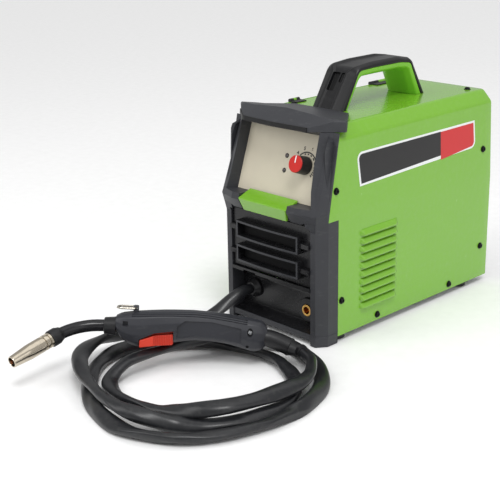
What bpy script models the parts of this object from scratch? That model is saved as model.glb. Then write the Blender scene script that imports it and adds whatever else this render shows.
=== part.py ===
"""Portable wire-feed welding machine with its torch and hose lead.

All sizes below are millimetres; the meshes are written in metres.  The machine stands on z = 0
with its front towards -Y, its right side towards +X and its hinged door on the left (-X).
"""

import math

import bmesh
import bpy
from mathutils import Matrix, Vector

MILLIMETRE = 0.001

# ---------------------------------------------------------------- fits
GAP = 0.3                    # between pieces that touch
RUNNING_GAP = 0.4            # around pieces that turn

# ---------------------------------------------------------------- case
CASE_HALF_WIDTH = 84.5
CASE_LENGTH = 304.0
CASE_BOTTOM = 9.0
CASE_TOP = 263.4
CREASE_FRONT = 163.0         # height of the fold in the side, at the front
CREASE_REAR = 150.0          # and at the rear
SIDE_LEAN = 4.4              # how far the side leans in above the fold
CHAMFER_WIDTH = 13.7         # of the slope between side and roof
CHAMFER_HEIGHT = 14.0
SHOULDER_HALF_WIDTH = CASE_HALF_WIDTH - SIDE_LEAN
SHOULDER_HEIGHT = CASE_TOP - CHAMFER_HEIGHT
ROOF_HALF_WIDTH = SHOULDER_HALF_WIDTH - CHAMFER_WIDTH
SHEET = 1.5                  # steel sheet of the case
CHASSIS_LIP = 13.0

COVER_NOSE_Y = -17.5         # foremost corner of the cover, above the belt
COVER_NOSE_Z = 155.5
COVER_BROW_Y = 2.0           # front edge of the roof, under the hood

LOUVRE_COUNT = 10
LOUVRE_TOP = 131.0
LOUVRE_PITCH = 10.4
LOUVRE_FRONT = 38.5
LOUVRE_REAR = 107.0
LOUVRE_HEIGHT = 7.0
LOUVRE_BULGE = 3.6
LOUVRE_WALL = 1.1

# ---------------------------------------------------------------- door, hinges and latch
DOOR_FRONT = 38.0
DOOR_REAR = 290.0
DOOR_BOTTOM = 24.0
DOOR_CLEARANCE = 0.6
HINGE_X = -ROOF_HALF_WIDTH - 0.5
HINGE_Z = CASE_TOP + 1.2
HINGE_RADIUS = 2.6
HINGE_PIN_RADIUS = 1.0
HINGE_LEAF = 11.0
HINGE_LEAF_THICKNESS = 1.2
HINGE_SPANS = {"door_hinge_front": (75.0, 92.0), "door_hinge_rear": (231.0, 280.0)}
LATCH_Y = 164.0
LATCH_Z = 40.0
LATCH_SHAFT_RADIUS = 3.5
LATCH_KNOB_RADIUS = 11.0
LATCH_KNOB_HEIGHT = 10.0
LATCH_TONGUE = 23.0

# ---------------------------------------------------------------- front moulding
BEZEL_SETBACK = 0.2
BEZEL_CHAMFER = 9.3
COLUMN_WIDTH = 17.3
BEZEL_HALF_WIDTH = CASE_HALF_WIDTH - BEZEL_SETBACK
BEZEL_FACE_HALF_WIDTH = BEZEL_HALF_WIDTH - BEZEL_CHAMFER
COLUMN_FRONT = -30.0
COLUMN_SIDE_FRONT = -17.5
COLUMN_INNER = BEZEL_HALF_WIDTH - COLUMN_WIDTH
COLUMN_SEAM = 14.3
FOOT_BOTTOM = 0.7
FOOT_BAR_BOTTOM = 6.5
HEAD_TOP = 258.0
HEAD_FACE_SIDE = 31.8        # from the flat middle of the face to the outside of the moulding
HEAD_FACE_HALF_WIDTH = BEZEL_HALF_WIDTH - HEAD_FACE_SIDE
# height, front of the face, how far the corner lies inside the moulding, its y, front of the sides
HEAD_SECTIONS = (
    (143.5, -30.0, 9.3, -30.0, -17.5),
    (153.7, -36.2, 7.2, -31.4, -18.0),
    (165.0, -42.8, 4.7, -33.0, -19.4),
    (179.0, -39.5, 5.3, -28.0, -16.6),
    (HEAD_TOP, -20.9, 8.7, -1.3, -0.3),
)
BEZEL_TUCK = 8.0             # how far the moulding reaches into the case
BEZEL_WALL = 2.2
OPENING_TOP = 148.0

# ---------------------------------------------------------------- control panel
PANEL_SIDE = 19.3            # from the panel's edge to the outside of the moulding
PANEL_HALF_WIDTH = BEZEL_HALF_WIDTH - PANEL_SIDE
PANEL_BOTTOM_Y = -20.8
PANEL_BOTTOM_Z = 171.8
PANEL_TILT = math.radians(18.3)
PANEL_HEIGHT = 81.9
PANEL_THICKNESS = 2.0
PANEL_LEDGE = 5.0
PANEL_SEAT = 8.0
PANEL_SEAT_SIDE = 5.0        # how far the panel's seat reaches beyond it
PANEL_SEAT_FRONT = 6.0       # how far it reaches forward
PANEL_RIM = 3.4
PANEL_FLARE = 0.72           # sideways run of the recess walls for each millimetre out
KNOB_X = 38.0
KNOB_UP = 44.3               # along the panel from its lower edge
KNOB_RADIUS = 11.0
KNOB_TOP_RADIUS = 10.3
KNOB_HEIGHT = 17.0
KNOB_CAP = 2.0
KNOB_SHAFT_RADIUS = 3.0
POT_RADIUS = 8.0
POT_DEPTH = 14.0
LED_RADIUS = 2.6
LED_PLACES = {"power_lamp": (6.0, 33.4), "overheat_lamp": (6.0, 51.2)}

# ---------------------------------------------------------------- badge, grille, lower recess
BADGE_HALF_WIDTH = 40.0
BADGE_FOOT_HALF_WIDTH = 36.0
BADGE_BOTTOM = 152.0
BADGE_TOP = 168.0
BADGE_FRONT = -43.6
BADGE_THICKNESS = 3.4
GRILLE_PLATE_FRONT = -27.0
GRILLE_PLATE = 2.4
GRILLE_SIDE = 15.0           # from the slot frames to the columns
GRILLE_HALF_WIDTH = COLUMN_INNER - GRILLE_SIDE
GRILLE_FRONT = -36.0
GRILLE_BOW = 2.5
GRILLE_WALL = 2.5
GRILLE_SLOT_HEIGHT = 21.5
GRILLE_SLOTS = (83.0, 114.0)
GRILLE_LINK = 5.5
COVE_TOP = 73.0
COVE_FRONT = -31.0
COVE_BACK = -10.0
COVE_WALL = 2.5
COVE_FLAT_TOP = 55.5
COVE_FLAT_BOTTOM = 20.2
COVE_CURVE = 13.0
GLAND_X = -46.0
GLAND_Z = 42.0
GLAND_RADIUS = 12.5
GLAND_THREAD_RADIUS = 8.5
GLAND_LENGTH = 9.4
SOCKET_SIDE = 21.0
SOCKET_X = COLUMN_INNER - SOCKET_SIDE
SOCKET_Z = 36.0
SOCKET_RADIUS = 15.4
SOCKET_THREAD_RADIUS = 10.3
SOCKET_BRASS_RADIUS = 7.3
SOCKET_BORE = 4.6

# ---------------------------------------------------------------- hood
HOOD_OVERHANG = 1.5
HOOD_HALF_WIDTH = CASE_HALF_WIDTH + HOOD_OVERHANG
HOOD_BOTTOM = HEAD_TOP + GAP
# half width, front edge, height of the lip, ridge y, ridge z, rear y, rear z
HOOD_SECTIONS = (
    (HOOD_HALF_WIDTH, 8.0, 270.4, 9.5, 271.2, 11.0, 270.5),
    (HOOD_HALF_WIDTH - 11.0, -2.4, 270.6, 4.0, 272.8, 24.0, 269.5),
    (68.0, -8.2, 268.0, 2.0, 273.0, 33.0, 268.0),
    (52.5, -20.2, 263.1, 0.0, 273.5, 52.0, 267.0),
    (44.0, -21.2, 262.8, 0.0, 274.5, 62.0, 266.4),
    (0.0, -23.4, 263.0, 0.0, 277.0, 65.0, 266.0),
)

# ---------------------------------------------------------------- carrying handle
HANDLE_HALF_WIDTH = 25.0
HANDLE_TOP_HALF_WIDTH = 13.0
LINER_HALF_WIDTH = 24.6
LINER_GRIP_HALF_WIDTH = 15.0
# outer face, parting line and inner face of the handle, each as (y, z)
HANDLE_STATIONS = (
    ((66.0, 0.0), (78.5, 0.0), (85.0, 0.0)),
    ((96.0, 45.2), (99.0, 37.5), (104.0, 31.5)),
    ((103.0, 50.4), (106.0, 43.0), (111.0, 35.6)),
    ((131.0, 52.6), (131.0, 43.4), (131.0, 36.0)),
    ((182.0, 52.6), (182.0, 43.4), (181.0, 36.0)),
    ((207.0, 48.6), (203.0, 41.0), (198.0, 34.0)),
    ((238.0, 0.0), (225.0, 0.0), (213.0, 0.0)),
)

# ---------------------------------------------------------------- feet
RUBBER_FOOT_RADIUS = 9.5
RUBBER_FOOT_INSET = 14.5
RUBBER_FOOT_X = CASE_HALF_WIDTH - RUBBER_FOOT_INSET
RUBBER_FOOT_FRONT = 14.0
RUBBER_FOOT_REAR = 262.0

# ---------------------------------------------------------------- rear panel and its fittings
REAR_PANEL_Y = 300.5
DIVIDER_X = -12.0            # left face of the dividing wall
FAN_SIDE_GAP = 8.5           # from the fan to the outside of the case
FAN_WALL_GAP = 8.0           # from the fan to the left face of the dividing wall
FAN_SIZE = CASE_HALF_WIDTH - FAN_SIDE_GAP - FAN_WALL_GAP - DIVIDER_X
FAN_X = CASE_HALF_WIDTH - FAN_SIDE_GAP - FAN_SIZE / 2
FAN_Z = 150.0
FAN_DEPTH = 25.0
FAN_RIM = 2.0
FAN_BORE = FAN_SIZE / 2 - FAN_RIM
FAN_HUB = 15.0
FAN_BLADES = 7
FAN_TIP_GAP = 1.6
FAN_TWIST = 0.5
FAN_BLADE_WALL = 1.6
GUARD_BAR = 2.0
SWITCH_X = -45.0
SWITCH_Z = 214.0
SWITCH_HALF_WIDTH = 10.0
SWITCH_HALF_HEIGHT = 13.0
SWITCH_THROW = math.radians(8.0)
INLET_X = -45.0
INLET_Z = 60.0
INLET_RADIUS = 12.0
INLET_THREAD_RADIUS = 8.0
INLET_BORE = 4.2

# ---------------------------------------------------------------- inside: wire side
DIVIDER_FOOT = 18.0
SPOOL_Y = 205.0
SPOOL_Z = 125.0
SPOOL_RADIUS = 50.0
SPOOL_WIDTH = 45.0
SPOOL_HUB = 22.0
SPOOL_FLANGE = 3.0
SPINDLE_RADIUS = 7.6
SPINDLE_SHOULDER = 9.0
SPINDLE_LENGTH = 61.0
WINDING_RADIUS = 44.0
FEEDER_THICKNESS = 3.5
FEEDER_Y = (45.0, 125.0)
FEEDER_Z = (80.0, 160.0)
ROLL_Y = 85.0
ROLL_Z = 105.0
DRIVE_ROLL_RADIUS = 12.0
PRESSURE_ROLL_RADIUS = 10.0
ROLL_WIDTH = 10.0
ROLL_AXLE_RADIUS = 3.0
ARM_PIVOT_Y = 60.0
ARM_THICKNESS = 3.5
ARM_END_Y = 118.0
MOTOR_RADIUS = 19.0
MOTOR_LENGTH = 58.0

# ---------------------------------------------------------------- inside: electronics side
BOARD_Z = 22.0
BOARD_WIDTH = 75.0
BOARD_SIDE_GAP = 7.5         # from the board to the outside of the case
BOARD_RIGHT = CASE_HALF_WIDTH - BOARD_SIDE_GAP
BOARD_X = (BOARD_RIGHT - BOARD_WIDTH, BOARD_RIGHT)
BOARD_Y = (42.0, 232.0)
BOARD_THICKNESS = 1.6
SINK_WIDTH = 64.0
SINK_X = (BOARD_RIGHT - 5.0 - SINK_WIDTH, BOARD_RIGHT - 5.0)
SINK_Y = (130.0, 222.0)
SINK_HEIGHT = 52.0
SINK_FINS = 8
CHOKE_WIDTH = 48.0
CHOKE_X = (BOARD_RIGHT - 13.0 - CHOKE_WIDTH, BOARD_RIGHT - 13.0)
CHOKE_Y = (56.0, 106.0)
CHOKE_HEIGHT = 40.0

# ---------------------------------------------------------------- torch
TORCH_PLACE = Vector((59.4, -108.1, 34.2))
TORCH_HEADING = math.radians(44.3)
TORCH_PITCH = math.radians(3.9)
TORCH_ROLL = math.radians(10.4)
# along the handle: distance from its rear, top, bottom, half width
GRIP_SECTIONS = (
    (-9.0, 12.0, -8.0, 8.0),
    (-5.0, 19.0, -14.5, 12.0),
    (6.0, 21.3, -17.0, 14.5),
    (20.0, 23.3, -13.0, 15.0),
    (36.0, 25.4, -9.2, 15.0),
    (56.0, 27.1, -6.7, 15.0),
    (76.0, 28.0, -6.8, 15.5),
    (94.0, 27.6, -9.8, 16.0),
    (108.0, 27.1, -12.5, 16.0),
    (124.0, 25.9, -15.6, 16.0),
    (138.0, 24.5, -17.1, 16.0),
    (147.0, 23.5, -15.2, 15.5),
    (159.0, 21.4, -8.4, 13.5),
    (164.0, 18.0, 2.0, 11.5),
)
TRIGGER_REAR = 98.0
TRIGGER_FRONT = 136.5
TRIGGER_HALF_WIDTH = 7.0
TRIGGER_PIVOT = (132.0, 0.0, -4.0)
NECK_UP = 5.0
NECK_RADIUS = 7.0
NECK_ROOT = 150.0
NECK_BEND_START = 179.0
NECK_BEND_RADIUS = 67.0
NECK_BEND = math.radians(49.5)
NECK_TURN = math.radians(63.0)
NECK_TAIL = 8.5
COLLAR_RADIUS = 10.5
NOZZLE_LENGTH = 54.0
NOZZLE_RADIUS = 8.75
NOZZLE_TIP_RADIUS = 6.5
NOZZLE_SOCKET = 8.0
TIP_RADIUS = 3.0
HOOK_PIVOT = (142.0, 0.0, 27.6)
HOOK_LENGTH = 21.0
HOOK_HALF_WIDTH = 6.5
HOOK_WIRE = 1.3
HOOK_LUG = 4.0
SLEEVE_RADIUS = 10.3

# ---------------------------------------------------------------- hose lead
HOSE_RADIUS = 6.5
HOSE_POINTS = 72
# the route along the floor, from the gland to the rear of the torch
HOSE_ROUTE = (
    (-46, -20, 42), (-46, -34, 42), (-48, -50, 36), (-53, -70, 25), (-61, -92, 13), (-70, -114, 8),
    (-82, -138, 8), (-97, -167, 10), (-96, -200, 18), (-90, -231, 22), (-77, -259, 22),
    (-52, -280, 22), (-24, -295, 22), (30, -312, 22), (63, -314, 21), (88, -306, 17),
    (106, -286, 8), (129, -270, 7), (146, -248, 7), (158, -222, 8), (164, -194, 8), (161, -165, 7),
    (151, -142, 8), (133, -124, 7), (104, -106, 7), (72, -96, 8), (37, -98, 7), (2, -109, 7),
    (-33, -134, 8), (-61, -165, 7), (-74, -190, 7), (-76, -216, 7), (-65, -245, 7), (-46, -269, 7),
    (-15, -296, 7), (17, -314, 7), (54, -325, 7), (90, -324, 7), (122, -311, 7), (143, -295, 7),
    (163, -264, 7), (176, -226, 7), (182, -185, 7), (176, -146, 7), (161, -113, 7), (137, -88, 7),
    (103, -68, 7), (65, -59, 8), (35, -74, 15), (17, -104, 23), (-6, -137, 21), (-19, -176, 19),
    (-23, -217, 20), (-25, -245, 16), (-19, -264, 8), (9, -279, 7), (43, -283, 7), (78, -274, 8),
    (112, -265, 16), (136, -251, 22), (148, -225, 22), (156, -194, 22), (161, -162, 23),
    (156, -132, 22), (141, -108, 22), (125, -92, 22), (108, -84, 21),
)

ROUND = 24                   # sides of an ordinary round piece
FINE_ROUND = ROUND + 8


# ================================================================ mesh helpers
def new_mesh():
    """An empty bmesh."""
    return bmesh.new()


def joined(*shapes):
    """One bmesh that holds separate shells."""
    result = shapes[0]
    for other in shapes[1:]:
        mesh = bpy.data.meshes.new("shell")
        other.to_mesh(mesh)
        result.from_mesh(mesh)
        other.free()
        bpy.data.meshes.remove(mesh)
    return result


def loft(rings, closed=False):
    """A solid through rings with as many points each; closed joins the last ring to the first."""
    bm = new_mesh()
    rows = [[bm.verts.new(point) for point in ring] for ring in rings]
    pairs = list(zip(rows, rows[1:]))
    if closed:
        pairs.append((rows[-1], rows[0]))
    for row, after in pairs:
        for i in range(len(row)):
            j = (i + 1) % len(row)
            bm.faces.new((row[i], row[j], after[j], after[i]))
    if not closed:
        bm.faces.new(rows[0][::-1])
        bm.faces.new(rows[-1])
    bmesh.ops.recalc_face_normals(bm, faces=bm.faces)
    return bm


def prism(outline, axis, low, high):
    """An outline in the plane across an axis, drawn out along that axis."""
    def place(point, along):
        """A point of the outline at a distance along the axis."""
        if axis == "x":
            return (along, point[0], point[1])
        if axis == "y":
            return (point[0], along, point[1])
        return (point[0], point[1], along)
    return loft([[place(point, level) for point in outline] for level in (low, high)])


def box(x, y, z):
    """A block between three pairs of limits."""
    return prism(((x[0], y[0]), (x[1], y[0]), (x[1], y[1]), (x[0], y[1])), "z", z[0], z[1])


def aim(centre, direction):
    """The matrix that takes a shape made along +Z to a centre and direction."""
    turn = Vector((0, 0, 1)).rotation_difference(Vector(direction).normalized())
    return Matrix.Translation(Vector(centre)) @ turn.to_matrix().to_4x4()


def turned(profile, centre, direction, sides=ROUND, ring=False):
    """A (radius, height) profile spun about a direction; ring marks a profile closed on itself."""
    bm = new_mesh()
    verts = [bm.verts.new((radius, 0, height)) for radius, height in profile]
    edges = [bm.edges.new(pair) for pair in zip(verts, verts[1:])]
    if ring:
        edges.append(bm.edges.new((verts[-1], verts[0])))
    bmesh.ops.spin(bm, geom=verts + edges, cent=(0, 0, 0), axis=(0, 0, 1),
                   angle=2 * math.pi, steps=sides, use_merge=True)
    bmesh.ops.remove_doubles(bm, verts=bm.verts, dist=0.0001)
    bmesh.ops.recalc_face_normals(bm, faces=bm.faces)
    bm.transform(aim(centre, direction))
    return bm


def rod(radius, centre, direction, length, sides=ROUND):
    """A plain cylinder that starts at a centre."""
    profile = ((0, 0), (radius, 0), (radius, length), (0, length))
    return turned(profile, centre, direction, sides)


def tube(path, radii, sides=12):
    """A round bar through a path of points, of one radius or of one radius a point."""
    path = [Vector(point) for point in path]
    if not hasattr(radii, "__len__"):
        radii = [radii] * len(path)
    side = None
    rings = []
    for i, point in enumerate(path):
        ahead = (path[min(i + 1, len(path) - 1)] - path[max(i - 1, 0)]).normalized()
        if side is None:
            side = ahead.orthogonal().normalized()
        side = (side - ahead * side.dot(ahead)).normalized()
        across = ahead.cross(side)
        angles = [2 * math.pi * k / sides for k in range(sides)]
        rings.append([point + radii[i] * (math.cos(a) * side + math.sin(a) * across)
                      for a in angles])
    return loft(rings)


def smooth_route(route, count):
    """As many evenly spaced points on a smooth curve through a route's points."""
    knots = [Vector(point) for point in route]
    knots = [2 * knots[0] - knots[1]] + knots + [2 * knots[-1] - knots[-2]]
    fine = []
    for a, b, c, d in zip(knots, knots[1:], knots[2:], knots[3:]):
        for step in range(24):
            t = step / 24
            fine.append(0.5 * (2 * b + (c - a) * t + (2 * a - 5 * b + 4 * c - d) * t * t
                               + (3 * b - a - 3 * c + d) * t ** 3))
    fine.append(knots[-2])
    reach = [0.0]
    for before, after in zip(fine, fine[1:]):
        reach.append(reach[-1] + (after - before).length)
    points = []
    index = 0
    for k in range(count):
        goal = reach[-1] * k / (count - 1)
        while index < len(fine) - 2 and reach[index + 1] < goal:
            index += 1
        share = (goal - reach[index]) / (reach[index + 1] - reach[index])
        points.append(fine[index].lerp(fine[index + 1], min(share, 1.0)))
    return points


# ================================================================ objects
def finish(name, colour, roughness, metallic=0.0):
    """A Principled material."""
    material = bpy.data.materials.new(name)
    material.use_nodes = True
    shader = material.node_tree.nodes["Principled BSDF"]
    shader.inputs["Base Color"].default_value = (*colour, 1.0)
    shader.inputs["Roughness"].default_value = roughness
    shader.inputs["Metallic"].default_value = metallic
    return material


def make_finishes():
    """The part's materials by name."""
    return {
        "green": finish("green paint", (0.25, 0.56, 0.05), 0.3),
        "charcoal": finish("charcoal plastic", (0.04, 0.04, 0.043), 0.6),
        "black": finish("black plastic", (0.012, 0.012, 0.013), 0.5),
        "beige": finish("panel beige", (0.58, 0.53, 0.42), 0.5),
        "red": finish("red plastic", (0.55, 0.03, 0.02), 0.4),
        "orange": finish("trigger orange", (0.75, 0.08, 0.04), 0.4),
        "rubber": finish("rubber", (0.02, 0.02, 0.02), 0.8),
        "zinc": finish("zinc plate", (0.55, 0.56, 0.56), 0.35, 1.0),
        "nickel": finish("nickel", (0.66, 0.62, 0.57), 0.25, 1.0),
        "brass": finish("brass", (0.7, 0.5, 0.2), 0.3, 1.0),
        "copper": finish("copper", (0.75, 0.36, 0.2), 0.35, 1.0),
        "alloy": finish("alloy", (0.7, 0.7, 0.72), 0.4, 1.0),
        "board": finish("circuit board", (0.02, 0.14, 0.05), 0.5),
        "reel": finish("reel plastic", (0.05, 0.05, 0.06), 0.5),
        "lamp": finish("lamp lens", (0.05, 0.03, 0.03), 0.2),
    }


def add_object(name, shape, parent, pivot=(0, 0, 0), material=None, smooth=35.0):
    """Links a shape, made in millimetres, with its origin at a pivot."""
    mesh = bpy.data.meshes.new(name)
    shape.transform(Matrix.Scale(MILLIMETRE, 4) @ Matrix.Translation(-Vector(pivot)))
    shape.to_mesh(mesh)
    shape.free()
    if smooth:
        mesh.shade_smooth()
        mesh.set_sharp_from_angle(angle=math.radians(smooth))
    if material:
        mesh.materials.append(material)
    piece = bpy.data.objects.new(name, mesh)
    bpy.context.scene.collection.objects.link(piece)
    piece.parent = parent
    piece.location = Vector(pivot) * MILLIMETRE
    return piece


def combine(piece, shapes, operation, parent):
    """Adds one exact Boolean to a piece for each shape."""
    tag = "cut" if operation == "DIFFERENCE" else "join"
    for shape in shapes:
        number = len(piece.modifiers)
        other = add_object(f"{piece.name}.{tag}.{number}", shape, parent, smooth=None)
        other.hide_render = True
        other.display_type = "WIRE"
        modifier = piece.modifiers.new(f"{tag} {number}", "BOOLEAN")
        modifier.operation = operation
        modifier.solver = "EXACT"
        modifier.object = other


def make_piece(name, material, shape, parent, pivot=(0, 0, 0), join=(), cut=(), smooth=35.0):
    """A sub-part: a shape, what is joined to it, and what is cut out of it."""
    piece = add_object(name, shape, parent, pivot, material, smooth)
    combine(piece, join, "UNION", parent)
    combine(piece, cut, "DIFFERENCE", parent)
    return piece


# ================================================================ case
def crease_height(y):
    """Height of the fold along the case's side."""
    return CREASE_FRONT + (CREASE_REAR - CREASE_FRONT) * y / CASE_LENGTH


def case_side(y, inset):
    """Right half of the case's section, from its lower edge to the roof."""
    lean = 0.41 * inset
    return [
        (CASE_HALF_WIDTH - inset, CASE_BOTTOM),
        (CASE_HALF_WIDTH - inset, crease_height(y)),
        (SHOULDER_HALF_WIDTH - inset, SHOULDER_HEIGHT - lean),
        (ROOF_HALF_WIDTH - lean, CASE_TOP - inset),
    ]


def case_section(y, inset):
    """The case's whole section, from the left lower edge to the right lower edge."""
    right = case_side(y, inset)
    return [(-x, z) for x, z in right] + right[::-1]


def case_solid(inset, front, rear):
    """The filled case, drawn in by an inset."""
    return loft([[(x, y, z) for x, z in case_section(y, inset)] for y in (front, rear)])


def case_band(outer, inner, front, rear):
    """A sheet that follows the case, between two insets, open at the bottom."""
    rings = []
    for y in (front, rear):
        section = case_section(y, outer) + case_section(y, inner)[::-1]
        rings.append([(x, y, z) for x, z in section])
    return loft(rings)


def nose_y(z):
    """Front edge of the cover's side above the belt."""
    slope = (COVER_BROW_Y - COVER_NOSE_Y) / (CASE_TOP - COVER_NOSE_Z)
    return COVER_NOSE_Y + slope * (z - COVER_NOSE_Z)


def louvre_levels():
    """Lower edges of the louvres."""
    return [LOUVRE_TOP - LOUVRE_HEIGHT / 2 - k * LOUVRE_PITCH for k in range(LOUVRE_COUNT)]


def louvre_hoods():
    """The pressed hoods, one prism a louvre."""
    face = CASE_HALF_WIDTH
    hoods = []
    for low in louvre_levels():
        outline = ((face - 1, low), (face + LOUVRE_BULGE, low),
                   (face + LOUVRE_BULGE, low + LOUVRE_WALL), (face, low + LOUVRE_HEIGHT),
                   (face - 1, low + LOUVRE_HEIGHT))
        hoods.append(prism(outline, "y", LOUVRE_FRONT, LOUVRE_REAR))
    return joined(*hoods)


def louvre_slots():
    """What is open behind and below each hood."""
    inner = CASE_HALF_WIDTH - SHEET - 1
    lip = CASE_HALF_WIDTH + LOUVRE_BULGE - LOUVRE_WALL
    slots = []
    for low in louvre_levels():
        top = low + LOUVRE_HEIGHT - 2 * LOUVRE_WALL
        outline = ((inner, low - 0.4), (lip, low - 0.4), (lip, low + LOUVRE_WALL / 2),
                   (CASE_HALF_WIDTH - 0.6, top), (inner, top))
        slots.append(prism(outline, "y", LOUVRE_FRONT + LOUVRE_WALL, LOUVRE_REAR - LOUVRE_WALL))
    return joined(*slots)


def ahead_of_cover():
    """Everything ahead of the cover's front edge."""
    far = 60.0
    outline = ((-far, 0), (0, 0), (0, COVER_NOSE_Z), (COVER_NOSE_Y, COVER_NOSE_Z),
               (COVER_BROW_Y, CASE_TOP), (COVER_BROW_Y, CASE_TOP + far), (-far, CASE_TOP + far))
    return prism(outline, "x", -CASE_HALF_WIDTH - far, CASE_HALF_WIDTH + far)


def roof_edge_x():
    """Where the roof stops beside the door's hinge."""
    return HINGE_X + HINGE_RADIUS + RUNNING_GAP + 0.4


def door_window():
    """The opening in the left side and chamfer that the door closes."""
    return box((-CASE_HALF_WIDTH - 20, roof_edge_x()), (DOOR_FRONT, DOOR_REAR),
               (DOOR_BOTTOM, CASE_TOP + 20))


def make_cover(root, finishes):
    """The bent sheet over the roof and both sides, with the louvres in its right side."""
    make_piece("cover", finishes["green"], case_band(0, SHEET, COVER_NOSE_Y - 2, CASE_LENGTH),
               root, join=(louvre_hoods(),),
               cut=(louvre_slots(), ahead_of_cover(), door_window()))


def make_chassis(root, finishes):
    """The folded tray that everything stands on."""
    half = CASE_HALF_WIDTH - SHEET - GAP
    low = CASE_BOTTOM
    outline = ((-half, low + CHASSIS_LIP), (-half, low), (half, low), (half, low + CHASSIS_LIP),
               (half - SHEET, low + CHASSIS_LIP), (half - SHEET, low + SHEET),
               (SHEET - half, low + SHEET), (SHEET - half, low + CHASSIS_LIP))
    make_piece("base_chassis", finishes["zinc"], prism(outline, "y", 0, REAR_PANEL_Y - GAP), root)


def make_feet(root, finishes):
    """Four rubber feet under the tray."""
    top = CASE_BOTTOM - GAP
    profile = ((0, 0), (RUBBER_FOOT_RADIUS - 1.2, 0), (RUBBER_FOOT_RADIUS, 1.2),
               (RUBBER_FOOT_RADIUS - 0.8, top), (0, top))
    for row, y in (("front", RUBBER_FOOT_FRONT), ("rear", RUBBER_FOOT_REAR)):
        for side, x in (("left", -RUBBER_FOOT_X), ("right", RUBBER_FOOT_X)):
            make_piece(f"foot_{row}_{side}", finishes["rubber"],
                       turned(profile, (x, y, 0), (0, 0, 1)), root)


def make_divider(root, finishes):
    """The upright wall between the wire side and the electronics."""
    floor = CASE_BOTTOM + SHEET + GAP
    right = DIVIDER_X + SHEET
    outline = ((DIVIDER_X, floor), (right + DIVIDER_FOOT, floor),
               (right + DIVIDER_FOOT, floor + SHEET), (right, floor + SHEET),
               (right, CASE_TOP - SHEET - GAP), (DIVIDER_X, CASE_TOP - SHEET - GAP))
    hole = rod(ROLL_AXLE_RADIUS + RUNNING_GAP, (DIVIDER_X - 5, ROLL_Y, ROLL_Z), (1, 0, 0), 12)
    front = on_panel(0, PANEL_HEIGHT + PANEL_RIM, -PANEL_SEAT).y + 1
    make_piece("divider_wall", finishes["zinc"],
               prism(outline, "y", front, REAR_PANEL_Y - GAP), root, cut=(hole,))


# ================================================================ door
def hinge_parts(span):
    """Lengths along a hinge: its fixed ends and the door's knuckle between them."""
    third = (span[1] - span[0]) / 3
    return span[0] + third, span[1] - third


def make_door(root, finishes):
    """The hinged sheet of the left side, with a knuckle at each hinge."""
    edge = DOOR_CLEARANCE
    front, rear, low = DOOR_FRONT + edge, DOOR_REAR - edge, DOOR_BOTTOM + edge
    rings = []
    for y in (front, rear):
        outer, inner = case_side(y, 0), case_side(y, SHEET)
        section = [(outer[0][0], low), *outer[1:], *inner[:0:-1], (inner[0][0], low)]
        rings.append([(-point[0], y, point[1]) for point in section])
    knuckles, fixed_ends, bores = [], [], []
    for span in HINGE_SPANS.values():
        start, end = hinge_parts(span)
        start, end = start + RUNNING_GAP, end - RUNNING_GAP
        knuckles.append(rod(HINGE_RADIUS, (HINGE_X, start, HINGE_Z), (0, 1, 0), end - start, 16))
        bores.append(rod(HINGE_PIN_RADIUS + RUNNING_GAP, (HINGE_X, start - 1, HINGE_Z),
                         (0, 1, 0), end - start + 2, 12))
        clear = HINGE_RADIUS + RUNNING_GAP
        fixed_ends.append(rod(clear, (HINGE_X, span[0] - 1, HINGE_Z), (0, 1, 0),
                              start - span[0] + 1, 16))
        fixed_ends.append(rod(clear, (HINGE_X, end, HINGE_Z), (0, 1, 0), span[1] - end + 1, 16))
    hole = rod(LATCH_SHAFT_RADIUS + RUNNING_GAP, (-CASE_HALF_WIDTH - 5, LATCH_Y, LATCH_Z),
               (1, 0, 0), 12, 16)
    make_piece("left_door", finishes["green"], loft(rings), root,
               pivot=(HINGE_X, (DOOR_FRONT + DOOR_REAR) / 2, HINGE_Z),
               join=(joined(*knuckles),), cut=(joined(*bores), joined(*fixed_ends), hole))


def make_hinges(root, finishes):
    """Each hinge's leaf on the roof, with its two knuckles and its pin."""
    low = CASE_TOP + GAP
    for name, span in HINGE_SPANS.items():
        start, end = hinge_parts(span)
        leaf = box((HINGE_X, HINGE_X + HINGE_RADIUS + HINGE_LEAF), span,
                   (low, low + HINGE_LEAF_THICKNESS))
        barrel = rod(HINGE_RADIUS, (HINGE_X, span[0], HINGE_Z), (0, 1, 0), span[1] - span[0], 16)
        gap_for_door = turned(((HINGE_PIN_RADIUS, 0), (HINGE_RADIUS + RUNNING_GAP, 0),
                               (HINGE_RADIUS + RUNNING_GAP, end - start),
                               (HINGE_PIN_RADIUS, end - start)),
                              (HINGE_X, start, HINGE_Z), (0, 1, 0), 16, ring=True)
        make_piece(name, finishes["black"], leaf, root, join=(barrel,), cut=(gap_for_door,))


def make_latch(root, finishes):
    """The quarter-turn latch: an outer knob, its shaft, and a tongue behind the door."""
    face = -CASE_HALF_WIDTH - GAP
    depth = CASE_HALF_WIDTH - SHEET
    tongue_x = (SHEET + 0.9 - depth, SHEET + 2.6 - depth)
    knob = turned(((0, 0), (LATCH_KNOB_RADIUS, 0), (LATCH_KNOB_RADIUS, 3),
                   (LATCH_KNOB_RADIUS - 2, 4), (0, 4)), (face, LATCH_Y, LATCH_Z), (-1, 0, 0))
    bar = box((face - LATCH_KNOB_HEIGHT, face - 3), (LATCH_Y - 9.4, LATCH_Y + 9.4),
              (LATCH_Z - 2.6, LATCH_Z + 2.6))
    shaft = rod(LATCH_SHAFT_RADIUS, (face - 1, LATCH_Y, LATCH_Z), (1, 0, 0),
                tongue_x[1] - face + 1, 16)
    tongue = box(tongue_x, (LATCH_Y - 5, LATCH_Y + LATCH_TONGUE), (LATCH_Z - 5, LATCH_Z + 5))
    make_piece("door_latch", finishes["black"], knob, root, pivot=(face, LATCH_Y, LATCH_Z),
               join=(bar, shaft, tongue))


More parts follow.
